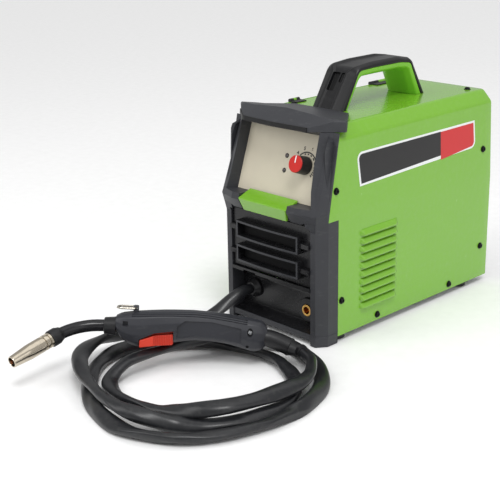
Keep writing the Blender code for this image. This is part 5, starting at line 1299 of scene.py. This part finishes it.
# ---------------------------------------------------------------------------- handle
@dataclass
class CarryHandle(Assembly):
    """The black shell with its pocket, and the green liner inside it."""

    foot_z: float = 263.7
    half_width: float = 25.0
    top_half_width: float = 13.0
    liner_half_width: float = 24.6
    liner_grip_half_width: float = 15.0
    liner_taper: float = 0.6
    seam: float = 0.3
    parting: float = 0.3
    waist: float = 0.62
    grip_wider: float = 6.5
    grip_heights: Point = (43.0, 50.0)
    trough: Point = (7.5, 10.5)
    trough_depth: float = 2.3
    trough_foot: Point = (17.0, 23.0)
    trough_rear: Point = (195.0, 200.0)
    pocket_top: float = 51.5
    pockets: Sequence[Point] = ((-9.8, 0.6, 26.0, 5.6), (2.8, 8.8, 38.5, 4.6))
    pocket_inset: float = 0.8
    pocket_round: float = 1.4
    pocket_clear: float = 12.0
    # heights of the painted-shade sheets above each pocket's floor
    shade_floor_levels: Point = (0.15, 0.6)
    corner: float = 5.0
    outer: Sequence[Point] = (
        (66.0, 0.0), (96.0, 45.2), (103.0, 50.4), (131.0, 52.6), (182.0, 52.6), (207.0, 48.6),
        (238.0, 0.0))
    split: Sequence[Point] = (
        (78.5, 0.0), (99.0, 37.5), (106.0, 43.0), (131.0, 43.4), (182.0, 43.4), (203.0, 41.0),
        (225.0, 0.0))
    inner: Sequence[Point] = (
        (85.0, 0.0), (104.0, 31.5), (111.0, 35.6), (131.0, 36.0), (181.0, 36.0), (198.0, 34.0),
        (213.0, 0.0))

    def build(self) -> None:
        """Makes both halves of the handle."""
        self.make_shell()
        self.make_liner()

    def share(self, value: float, limits: Point) -> float:
        """How far a value is between two limits, from 0 to 1."""
        return min(1.0, max(0.0, (value - limits[0]) / (limits[1] - limits[0])))

    def ring(self, right: Sequence[tuple[float, Vector, float]]) -> list[Vector]:
        """A station's closed outline.

        Args:
            right: The corners of its right half: x, place in the side view, and rounding.

        Returns:
            The rounded outline of both halves.
        """
        corners = [(-x, place, reach) for x, place, reach in right[::-1]] + list(right)
        return eased([(x, place.x, place.y + self.foot_z) for x, place, _ in corners],
                     [reach for _, _, reach in corners], 3, True)

    def lines(self) -> Iterable[tuple[Vector, Vector, Vector, float]]:
        """The handle's stations, from its front foot over the grip to its rear foot.

        Returns:
            Each as outer edge, parting line, inner edge and the grip's share from 0 to 1.
        """
        for outer, lower, inner in zip(*(eased(line, self.corner, 5)
                                         for line in (self.outer, self.split, self.inner))):
            grip = self.share(outer.y, self.grip_heights)
            yield outer, lower.lerp(outer, self.parting * grip), inner, grip

    def make_shell(self) -> None:
        """The outer shell, troughed along its top and pocketed at the front."""
        rings = []
        for outer, split, _, grip in self.lines():
            depth = self.trough_depth * self.share(outer.y, self.trough_foot)
            depth *= 1 - self.share(outer.x, self.trough_rear)
            floor = outer + (depth + 0.02) * (split - outer).normalized()
            middle, top = outer.lerp(split, 0.5), self.top_half_width + self.grip_wider * grip
            near, far = (edge + self.grip_wider * grip for edge in self.trough)
            rings.append(self.ring([(near, floor, 0.8), (far, outer, 0.8), (top, outer, 2.4),
                                    (self.half_width, middle, 3.0), (self.half_width, split, 0.7)]))
        along = Vector((0, *(Vector(self.outer[1]) - Vector(self.outer[0])))).normalized()
        axes = Matrix((Vector((1, 0, 0)), along, Vector((0, along.z, -along.y)))).transposed()
        onto = (Matrix.Translation((0, self.outer[0][0], self.foot_z)) @ axes.to_4x4()
                @ Matrix.Scale(-1, 4, (0, 0, 1)))
        shell, shade_floors, inset = Shape.loft(rings), Shape(), self.pocket_inset
        low, high = self.shade_floor_levels
        for left, right, start, depth in self.pockets:
            hollow = Shape.block((left, start, -depth), (right, self.pocket_top, self.pocket_clear))
            shell.carved(hollow.rounded(self.pocket_round, 3).moved(onto).clean())
            # painted shade: a near-black sheet on each pocket's floor stands in for the shade in
            # the pocket
            shade_floors.add(Shape.block((left + inset, start + inset, low - depth),
                                   (right - inset, self.pocket_top - inset, high - depth)))
        shell.piece("handle_shell_skin", HANDLE_BLACK, "machine", ("handle_shell",), 32)
        shade_floors.moved(onto).clean().piece("handle_pocket_shade", PAINTED_SHADE_BLACK)

    def make_liner(self) -> None:
        """The green liner of the opening."""
        rings, wide = [], self.liner_half_width
        for _, split, inner, _ in self.lines():
            start = split + self.seam * (inner - split).normalized()
            rings.append(self.ring([(wide, start, 0.8),
                                    (wide - self.liner_taper, start.lerp(inner, self.waist), 2.0),
                                    (self.liner_grip_half_width, inner, 2.5)]))
        Shape.loft(rings).piece("handle_liner_skin", GREEN_GRIP, "machine", ("handle_liner",), 32)


# ---------------------------------------------------------------------------- torch
@dataclass
class Torch(Assembly):
    """The torch with its trigger, hook, neck and nozzle, made with +X along its handle."""

    rounded: Sequence[tuple] = (
        ("torch_bail", "torch_hook", HOOK_NICKEL, 0.2), ("machine", "swan_neck", NECK_BLACK, 0.5),
        ("machine", "neck_collar", BLACK, 0.5), ("machine", "contact_tip", COPPER, 0.2),
        ("machine", "hose_sleeve", BLACK, 0.5))
    place: Point = (59.4, -108.1, 34.2)
    forward: Point = (-0.69680, -0.71403, 0.06802)
    left: Point = (0.71251, -0.67816, 0.18010)
    up: Point = (-0.08247, 0.17396, 0.98130)
    grip: Sequence[Point] = (
        (-9.0, 12.0, -8.0, 8.0), (-5.0, 19.0, -14.5, 12.0), (6.0, 21.3, -17.0, 14.5),
        (20.0, 23.3, -13.0, 15.0), (36.0, 25.4, -9.2, 15.0), (56.0, 27.1, -6.7, 15.0),
        (76.0, 28.0, -6.8, 15.5), (94.0, 27.6, -9.8, 16.0), (108.0, 27.1, -12.5, 16.0),
        (124.0, 25.9, -15.6, 16.0), (138.0, 24.5, -17.1, 16.0), (147.0, 23.5, -15.2, 15.5),
        (159.0, 21.4, -8.4, 13.5), (164.0, 18.0, 2.0, 11.5))
    station: float = 3.5
    half_outline: Sequence[Point] = (
        (0.0, 0.0), (0.5, 0.04), (0.82, 0.15), (1.0, 0.36), (1.0, 0.64), (0.82, 0.86),
        (0.5, 0.97), (0.0, 1.0))
    parting: float = 0.15
    groove: Sequence[Point] = (
        (14.0, 16.4), (34.4, 19.4), (54.8, 21.7), (75.1, 22.8), (105.5, 21.9), (145.9, 19.3))
    groove_rows: Sequence[float] = (0.0, 1.9, 3.7)
    groove_radii: Point = (1.0, 0.62)
    groove_sunk: float = 0.15
    groove_turn: float = 0.2
    screw_at: Point = (10.7, 7.7)
    screw_drop: float = 0.6
    screw_depth: float = 9.4
    screw_hole: Point = (3.4, 5.0)
    screw_floor: float = 9.5
    screw_head: Sequence[Point] = ((0, 0), (2.7, 0), (2.7, 1.0), (2.2, 1.9), (0, 2.2))
    screw_turn: float = 0.4
    cross: Sequence[Point] = ((4.0, 0.4), (0.4, 4.0))
    cross_levels: Point = (1.3, 3.0)
    pin_at: Point = (13.2, -9.4)
    pin_hole: Point = (1.9, 1.9)
    pin_floor: float = 8.0
    inset: Sequence[Point] = (
        (94.3, -3.4), (93.9, 11.1), (85.1, 17.6), (54.7, 17.6), (24.0, 12.2), (21.0, 11.7),
        (21.0, -7.1), (43.6, -2.0), (72.1, 0.8), (86.2, -2.0))
    inset_line: Sequence[Point] = (
        (24.5, 3.0), (45, 6.6), (72, 8.4), (91, 6.6), (91, 5.9), (72, 7.7), (45, 5.9), (24.5, 2.3))
    inset_floor: float = 13.1
    line_floor: float = 13.2
    slot: Sequence[Point] = ((155.7, 13.8), (155.7, 8.5), (149.6, 8.5), (149.6, 13.8))
    slot_floor: float = 9.5
    outside: float = 24.0
    window: Sequence[Point] = (
        (97.6, 5.4), (97.6, -22.0), (136.9, -24.0), (136.9, -6.6), (119.3, 1.9))
    core_window: Sequence[Point] = (
        (97.4, 11.5), (97.4, -24.0), (137.1, -24.0), (137.1, -0.3), (124.0, 5.0))
    core_room: float = 7.6
    bores: Sequence[Point] = ((149.0, 30.0, 7.3, 5.0), (-30.0, 38.0, 10.6, 0.0))
    lug: Sequence[Point] = ((139.0, 19.6), (145.0, 30.2))
    lug_width: float = 4.0
    lug_round: float = 1.2
    lug_eye: Point = (142.0, 27.6)
    lug_bore: Point = (1.8, -20.0, 20.0)
    trigger_side: Sequence[Point] = (
        (98.2, 1.2), (98.2, -11.2), (116.8, -13.0), (136.2, -16.2), (136.2, -7.4), (119.3, -1.0))
    trigger_half_width: float = 14.4
    trigger_round: float = 1.3
    trigger_core: Sequence[Point] = (
        (98.0, 6.5), (98.0, -11.4), (116.8, -13.2), (136.5, -16.4), (136.5, -1.0), (124.0, 2.0))
    core_half_width: float = 7.0
    rib_start: float = 99.4
    rib_pitch: float = 1.95
    rib_width: float = 1.15
    rib_depth: float = 1.8
    rib_count: int = 11
    rib_heights: Point = (-20.0, 8.0)
    rib_spare: float = 3.0
    bend_at: Point = (179.0, 5.0)
    bend_radius: float = 67.0
    bend: float = math.radians(49.5)
    bend_turn: float = math.radians(63.0)
    nozzle_behind: float = 8.5
    nozzle_profile: Sequence[Point] = (
        (7.3, 0), (8.5, 0), (8.8, 0.5), (8.8, 3.0), (7.7, 3.5), (7.7, 5.4), (8.8, 5.9), (8.8, 9.0),
        (7.7, 9.5), (7.7, 11.4), (8.75, 11.9), (8.75, 30), (8.4, 34), (6.7, 53.4), (6.4, 54.0),
        (5.5, 54.0), (5.2, 53.3), (5.2, 14), (7.3, 10))
    nozzle_ring: Sequence[Point] = (
        (7.05, -15.5), (7.9, -15.5), (9.1, -11.5), (9.7, -10.6), (9.9, -9.8), (9.9, -1.2),
        (9.5, -0.3), (7.05, -0.3))

    def build(self) -> None:
        """Makes every piece of the torch."""
        super().build()
        for name, side in (("torch_shell_left", 1), ("torch_shell_right", -1)):
            self.make_half(name, side)
        self.make_trigger()
        self.make_screws()
        self.make_nozzle()

    def axes(self) -> Matrix:
        """The matrix from the torch's own axes to the machine's."""
        turn = Matrix((Vector(self.forward), Vector(self.left), Vector(self.up))).transposed()
        return Matrix.Translation(Vector(self.place)) @ turn.to_4x4()

    def sections(self) -> list[Vector]:
        """The handle's sections along its length.

        Returns:
            Each as (along, top, bottom, half width).
        """
        knots = [Vector(section) for section in self.grip]
        rows = []
        for before, after in zip(knots, knots[1:]):
            count = max(1, round((after[0] - before[0]) / self.station))
            rows += [before.lerp(after, k / count) for k in range(count)]
        return calmed([*rows, knots[-1]], 1)

    def flank(self, along: float, height: float) -> float:
        """How far the handle's side stands out.

        Args:
            along: Place along the handle.
            height: Height in the side view.

        Returns:
            The distance from the middle plane.
        """
        row = min(self.sections(), key=lambda item: abs(item[0] - along))
        share = (row[1] - height) / (row[1] - row[2])
        for (wide0, down0), (wide1, down1) in zip(self.half_outline, self.half_outline[1:]):
            if down0 <= share <= down1:
                part = (share - down0) / (down1 - down0)
                return row[3] * (wide0 + (wide1 - wide0) * part)
        return row[3]

    def half(self, side: int) -> Shape:
        """One half of the handle's body, closed along the middle plane.

        Args:
            side: 1 for the torch's left, -1 for its right.

        Returns:
            The half in the torch's axes.
        """
        rings = []
        for along, top, bottom, half in self.sections():
            corners = [(along, side * max(self.parting, wide * half), top - down * (top - bottom))
                       for wide, down in self.half_outline]
            reach = [0.4] + [1.3] * (len(corners) - 2) + [0.4]
            rings.append(eased(corners, reach, 3, True))
        return Shape.loft(rings)

    def across(self, outline: Sequence[Point], near: float, far: float) -> Shape:
        """A side-view outline, pushed from one distance off the middle plane to another."""
        return Shape.extruded([(s, near, u) for s, u in outline], (0, far - near, 0))

    def groove_cut(self, side: int, lift: float) -> Shape:
        """A cutter that runs along a flank below the handle's back.

        Args:
            side: Which flank.
            lift: Height above the lowest groove.

        Returns:
            The cutter in the torch's axes.
        """
        rings = []
        for along, height in calmed(stepped(self.groove, 8), 4):
            middle = (side * (self.flank(along, height + lift) - self.groove_sunk), height + lift)
            rings.append([(along, *point) for point in oval(middle, self.groove_radii, 8,
                                                            self.groove_turn)])
        return Shape.loft(rings)

    def make_half(self, name: str, side: int) -> None:
        """One shell of the handle, with its grooves, panel, slot and screw holes.

        Args:
            name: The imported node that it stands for.
            side: 1 for the torch's left, -1 for its right.
        """
        out = self.outside
        cuts = ((self.inset, self.inset_floor, out), (self.inset_line, self.line_floor, out),
                (oval(self.screw_at, self.screw_hole, 20), self.screw_floor, out),
                (oval(self.pin_at, self.pin_hole, 12), self.pin_floor, out),
                (self.slot, self.slot_floor, out), (self.window, 0.0, out),
                (self.core_window, 0.0, self.core_room))
        cutters = [self.across(outline, side * near, side * far) for outline, near, far in cuts]
        cutters += [self.groove_cut(side, lift) for lift in self.groove_rows]
        cutters += [Shape.rod(radius, 0, length, 40).moved(facing((start, 0, height), (1, 0, 0)))
                    for start, length, radius, height in self.bores]
        shell = self.half(side).carved(*cutters)
        (rear, low), (front, high) = self.lug
        near, far = sorted((side * self.parting, side * self.lug_width))
        lug = Shape.block((rear, near, low), (front, far, high)).rounded(self.lug_round, 3)
        along, height = self.lug_eye
        lug.carved(Shape.rod(*self.lug_bore, 16).moved(facing((along, 0, height), (0, 1, 0))))
        shell.add(lug).moved(self.axes()).piece(f"{name}_skin", TORCH_BLACK, "machine", (name,), 32)

    def make_trigger(self) -> None:
        """The trigger: a broad ribbed key on the narrow core that turns inside."""
        wide, slim = self.trigger_half_width, self.core_half_width
        key = self.across(self.trigger_side, -wide, wide).rounded(self.trigger_round, 3, 40)
        ribs, (low, high) = Shape(), self.rib_heights
        for k in range(self.rib_count):
            start = self.rib_start + k * self.rib_pitch
            for side in (-1, 1):
                near, far = sorted((side * (wide - self.rib_depth), side * (wide + self.rib_spare)))
                ribs.add(Shape.block((start, near, low), (start + self.rib_width, far, high)))
        key.carved(ribs)
        key.carved(self.across(self.trigger_core, -slim, slim), operation="UNION")
        key.moved(self.axes())
        key.piece("trigger_skin", TRIGGER_RED, "torch_trigger", ("trigger",), 30)

    def make_screws(self) -> None:
        """The plated screws of both flanks, deep in their oval holes."""
        screws, (along, height), (low, high) = Shape(), self.screw_at, self.cross_levels
        for side in (-1, 1):
            head = Shape.turned(self.screw_head, 24)
            for x, y in self.cross:
                head.carved(Shape.block((-x, -y, low), (x, y, high)))
            spot = (along, side * self.screw_depth, height - self.screw_drop)
            screws.add(head.moved(facing(spot, (0, side, 0), self.screw_turn)))
        screws.moved(self.axes()).piece("torch_screws", STEEL)

    def nozzle_axes(self) -> Matrix:
        """The matrix that takes the nozzle, made along +Z, to the end of the neck.

        Returns:
            The matrix to the machine's axes.
        """
        ahead = Vector((1, 0, 0))
        across = Vector((0, math.sin(self.bend_turn), -math.cos(self.bend_turn)))
        way = ahead * math.cos(self.bend) + across * math.sin(self.bend)
        along, height = self.bend_at
        end = (Vector((along, 0, height)) + ahead * self.bend_radius * math.sin(self.bend)
               + across * self.bend_radius * (1 - math.cos(self.bend)))
        return self.axes() @ facing(end + self.nozzle_behind * way, way)

    def make_nozzle(self) -> None:
        """The nickel nozzle with its grooved rear, and the insulating ring behind it."""
        nozzle = Shape.turned(self.nozzle_profile, 64, True).moved(self.nozzle_axes())
        nozzle.piece("nozzle_skin", NICKEL, "machine", ("nozzle",), 24)
        ring = Shape.turned(self.nozzle_ring, 56, True).moved(self.nozzle_axes())
        ring.piece("nozzle_ring", BLACK)


# ---------------------------------------------------------------------------- hose
@dataclass
class HoseLead(Assembly):
    """The soft flattened sleeve that lies in loops from the gland to the torch."""

    radius: float = 6.5
    wide: float = 9.2
    thin: float = 5.5
    limits: Point = (-104.2, 187.5)
    floor: float = 0.25
    knots: int = 72
    sides: int = 28
    total: float = 2125.0
    curve_steps: int = 24
    calm: float = 60.0
    twists: Sequence[Point] = ((0.72, 47.0, 0.6), (0.4, 21.0, 2.0))
    fold: Point = (0.55, 19.0, 33.0)
    route: Sequence[Point] = (
        (-46, -20, 42), (-46, -34, 42), (-48, -50, 36), (-53, -70, 25), (-61, -92, 13),
        (-70, -114, 8), (-82, -138, 8), (-97, -167, 10), (-96, -200, 18), (-90, -231, 22),
        (-77, -259, 22), (-52, -280, 22), (-24, -295, 22), (30, -312, 22), (63, -314, 21),
        (88, -306, 17), (106, -286, 8), (129, -270, 7), (146, -248, 7), (158, -222, 8),
        (164, -194, 8), (161, -165, 7), (151, -142, 8), (133, -124, 7), (104, -106, 7),
        (72, -96, 8), (37, -98, 7), (2, -109, 7), (-33, -134, 8), (-61, -165, 7), (-74, -190, 7),
        (-76, -216, 7), (-65, -245, 7), (-46, -269, 7), (-15, -296, 7), (17, -314, 7),
        (54, -325, 7), (90, -324, 7), (122, -311, 7), (143, -295, 7), (163, -264, 7),
        (176, -226, 7), (182, -185, 7), (176, -146, 7), (161, -113, 7), (137, -88, 7),
        (103, -68, 7), (65, -59, 8), (35, -74, 15), (17, -104, 23), (-6, -137, 21),
        (-19, -176, 19), (-23, -217, 20), (-25, -245, 16), (-19, -264, 8), (9, -279, 7),
        (43, -283, 7), (78, -274, 8), (112, -265, 16), (136, -251, 22), (148, -225, 22),
        (156, -194, 22), (161, -162, 23), (156, -132, 22), (141, -108, 22), (125, -92, 22),
        (108, -84, 21))

    def smooth(self, route: Sequence[Point], count: int) -> list[Vector]:
        """As many evenly spaced points on a smooth curve through a route's points.

        Args:
            route: The route's points.
            count: How many points are wanted.

        Returns:
            The points, in order.
        """
        knots = [Vector(point) for point in route]
        knots = [2 * knots[0] - knots[1]] + knots + [2 * knots[-1] - knots[-2]]
        fine = []
        for a, b, c, d in zip(knots, knots[1:], knots[2:], knots[3:]):
            for step in range(self.curve_steps):
                t = step / self.curve_steps
                fine.append(0.5 * (2 * b + (c - a) * t + (2 * a - 5 * b + 4 * c - d) * t * t
                                   + (3 * b - a - 3 * c + d) * t ** 3))
        fine.append(knots[-2])
        reach = [0.0]
        for before, after in zip(fine, fine[1:]):
            reach.append(reach[-1] + (after - before).length)
        points, index = [], 0
        for k in range(count):
            goal = reach[-1] * k / (count - 1)
            while index < len(fine) - 2 and reach[index + 1] < goal:
                index += 1
            share = (goal - reach[index]) / (reach[index + 1] - reach[index])
            points.append(fine[index].lerp(fine[index + 1], min(share, 1.0)))
        return points

    def centre_line(self) -> list[Vector]:
        """The hose's line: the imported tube's points, straight at both ends, smoothed once more.

        Returns:
            The line's points, in millimetres.
        """
        points = self.smooth(self.route, self.knots)
        start, end = Vector(self.route[0]), Vector(self.route[-1])
        leave = (Vector(self.route[1]) - start).normalized()
        arrive = (end - Vector(self.route[-2])).normalized()
        points.insert(1, start + 2 * self.radius * leave)
        points.insert(-1, end - 2 * self.radius * arrive)
        return self.smooth(points, 8 * self.knots)

    def build(self) -> None:
        line = self.centre_line()
        rings, reach = [], 0.0
        for index, here in enumerate(line):
            before, after = line[max(index - 1, 0)], line[min(index + 1, len(line) - 1)]
            reach += (here - before).length
            rings.append(self.ring(here, (after - before).normalized(), reach))
        hose = Shape.loft(rings).piece("hose_lead", HOSE_RUBBER, "machine", ("torch_hose",), 70)
        points = [TO_FRAME @ point for point in line]
        tuple(points[0])
        [tuple(point) for point in points]
        LOG.info("hose_lead: %.3f m long", reach * MM)

    def ring(self, here: Vector, way: Vector, reach: float) -> list[Vector]:
        """The sleeve's outline at one place.

        Args:
            here: The place on the centre line.
            way: The line's direction there.
            reach: Millimetres from the gland.

        Returns:
            The outline's points; the sleeve turns slowly and creases as it goes.
        """
        level = way.cross(Vector((0, 0, 1))).normalized()
        above = level.cross(way)
        turn = sum(size * math.sin(reach / pace + start) for size, pace, start in self.twists)
        calm = min(1.0, reach / self.calm, max(0.0, (self.total - reach) / self.calm))
        wide = self.radius + (self.wide - self.radius) * calm
        thin = self.radius + (self.thin - self.radius) * calm
        depth, pace, drift = self.fold
        outline = []
        for k in range(self.sides):
            angle = 2 * math.pi * k / self.sides
            fold = (depth * calm * math.sin(3 * angle + reach / pace)
                    * math.sin(reach / drift + angle))
            across, up = (wide + fold) * math.cos(angle), (thin + fold) * math.sin(angle)
            place = (here + level * (across * math.cos(turn) - up * math.sin(turn))
                     + above * (across * math.sin(turn) + up * math.cos(turn)))
            place.z = max(place.z, self.floor)
            place.x = min(max(place.x, self.limits[0]), self.limits[1])
            outline.append(place)
        return outline


# ---------------------------------------------------------------------------- inside and rear
@dataclass
class WireDrive(Assembly):
    """The wire side behind the door: reel, feeder and divider."""

    rounded: Sequence[tuple] = (
        ("wire_reel", "wire_spool", REEL, 0.5), ("machine", "spool_nut", BLACK, 0.5),
        ("machine", "feeder_plate", ALLOY, 0.4), ("machine", "feed_motor", ZINC, 1.0),
        ("drive_wheel", "drive_roll", STEEL, 0.3), ("pressure_wheel", "pressure_roll", STEEL, 0.3),
        ("arm", "pressure_arm", BLACK, 0.4), ("tension", "tension_knob", CAP_RED, 0.5))
    plain: Sequence[tuple[str, Finish]] = (
        ("divider_wall", ZINC), ("wire_winding", WIRE), ("spool_spindle", ALLOY))


@dataclass
class Electronics(Assembly):
    """The board, heat sink and choke behind the grille."""

    rounded: Sequence[tuple] = (("machine", "output_choke", ENAMEL, 1.5),)
    plain: Sequence[tuple[str, Finish]] = (("circuit_board", BOARD), ("heat_sink", ALLOY))


@dataclass
class RearFittings(Assembly):
    """The rear panel with the fan, its guard, the switch and the mains gland."""

    rounded: Sequence[tuple] = (
        ("machine", "rear_panel", CHARCOAL, 0.3), ("machine", "fan_frame", BLACK, 0.5),
        ("machine", "fan_guard", ZINC, 0.4), ("machine", "switch_body", BLACK, 0.5),
        ("power_switch", "switch_rocker", GLOSS_BLACK, 0.5),
        ("machine", "mains_gland", BLACK, 0.4))
    plain: Sequence[tuple[str, Finish]] = (("fan_rotor", BLACK),)


# ---------------------------------------------------------------------------- studio
@dataclass
class Studio:
    """Floor, soft lights and the camera at the photograph's place."""

    eye: Point = (918.3, -940.3, 548.0)
    azimuth: float = math.radians(46.31)
    elevation: float = math.radians(18.83)
    roll: float = math.radians(-1.06)
    focal_pixels: float = 1128.57
    image_pixels: float = 500.0
    sensor: float = 36.0
    far_clip: float = 40.0
    floor_size: float = 9000.0
    floor: Ink = Ink("pale floor", "beige", (0.96, 0.96, 0.96), 0.8)
    lamps: Sequence[tuple[str, Point, Point, float, float]] = (
        ("key", (-350, -1150, 1050), (0, 0, 120), 900, 6.0),
        ("side", (1500, -250, 750), (0, 100, 100), 1100, 3.2),
        ("top", (100, 250, 1500), (0, 100, 0), 1300, 4.0))
    sun_from: Point = (0.5, -0.3, 1.0)
    sun_power: float = 1.25
    sun_spread: float = math.radians(22.0)
    sky_power: float = 0.5

    def build(self) -> None:
        """Makes the camera, the floor, the lights and the sky."""
        self.make_camera()
        self.make_floor()
        for row in self.lamps:
            self.make_lamp(*row)
        self.make_sky()
        bpy.context.scene.view_settings.view_transform = "Standard"

    def make_camera(self) -> None:
        """The camera where the photograph was taken from."""
        ahead = Vector((-math.sin(self.azimuth) * math.cos(self.elevation),
                        math.cos(self.azimuth) * math.cos(self.elevation),
                        -math.sin(self.elevation)))
        right = Vector((math.cos(self.azimuth), math.sin(self.azimuth), 0))
        up = right.cross(ahead)
        cosine, sine = math.cos(self.roll), math.sin(self.roll)
        axes = (cosine * right + sine * up, cosine * up - sine * right, -ahead)
        lens = bpy.data.cameras.new("camera")
        lens.sensor_width = self.sensor
        lens.lens = self.sensor * self.focal_pixels / self.image_pixels
        lens.clip_end = self.far_clip
        camera = linked("camera", lens)
        camera.matrix_world = (Matrix.Translation(TO_FRAME @ Vector(self.eye))
                               @ Matrix(axes).transposed().to_4x4())
        bpy.context.scene.camera = camera

    def make_floor(self) -> None:
        """A plain pale floor."""
        floor = Shape()
        bmesh.ops.create_grid(floor.bm, x_segments=1, y_segments=1, size=self.floor_size)
        mesh = floor.moved(TO_FRAME).mesh("floor")
        mesh.materials.append(material(self.floor))
        linked("floor", mesh)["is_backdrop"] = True

    def make_lamp(self, name: str, place: Point, aim: Point, size: float, watts: float) -> None:
        """One large soft light.

        Args:
            name: The light's name.
            place: Where it hangs, in millimetres.
            aim: The point that it looks at.
            size: Its width, in millimetres.
            watts: Its power.
        """
        lamp = bpy.data.lights.new(name, "AREA")
        lamp.shape, lamp.size, lamp.energy = "SQUARE", size * MM, watts
        start, goal = TO_FRAME @ Vector(place), TO_FRAME @ Vector(aim)
        turn = (goal - start).to_track_quat("-Z", "Y").to_matrix().to_4x4()
        linked(name, lamp).matrix_world = Matrix.Translation(start) @ turn

    def make_sky(self) -> None:
        """The even light of the sky, and a wide sun high up."""
        lamp = bpy.data.lights.new("overhead", "SUN")
        lamp.energy, lamp.angle = self.sun_power, self.sun_spread
        turn = Vector(self.sun_from).to_track_quat("Z", "Y")
        linked("overhead", lamp).rotation_euler = turn.to_euler()
        world = bpy.context.scene.world or bpy.data.worlds.new("sky")
        bpy.context.scene.world = world
        world.use_nodes = True
        sky = world.node_tree.nodes["Background"]
        sky.inputs["Color"].default_value = (1.0, 1.0, 1.0, 1.0)
        sky.inputs["Strength"].default_value = self.sky_power


def corners() -> list[list[float]]:
    """The whole object's lowest and highest corners, as plain lists."""
    return [list(map(float, corner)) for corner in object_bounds()]


def main() -> None:
    """Builds the scene."""
    logging.basicConfig(level=logging.INFO, format="%(name)s: %(message)s")
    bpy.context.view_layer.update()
    for part in (Studio(), HoseLead(), Housing(), FrontMoulding(), ControlPanel(), CarryHandle(),
                 Torch(), WireDrive(), Electronics(), RearFittings()):
        part.build()
        LOG.info("%s done", type(part).__name__)


if __name__ == "__main__":
    main()
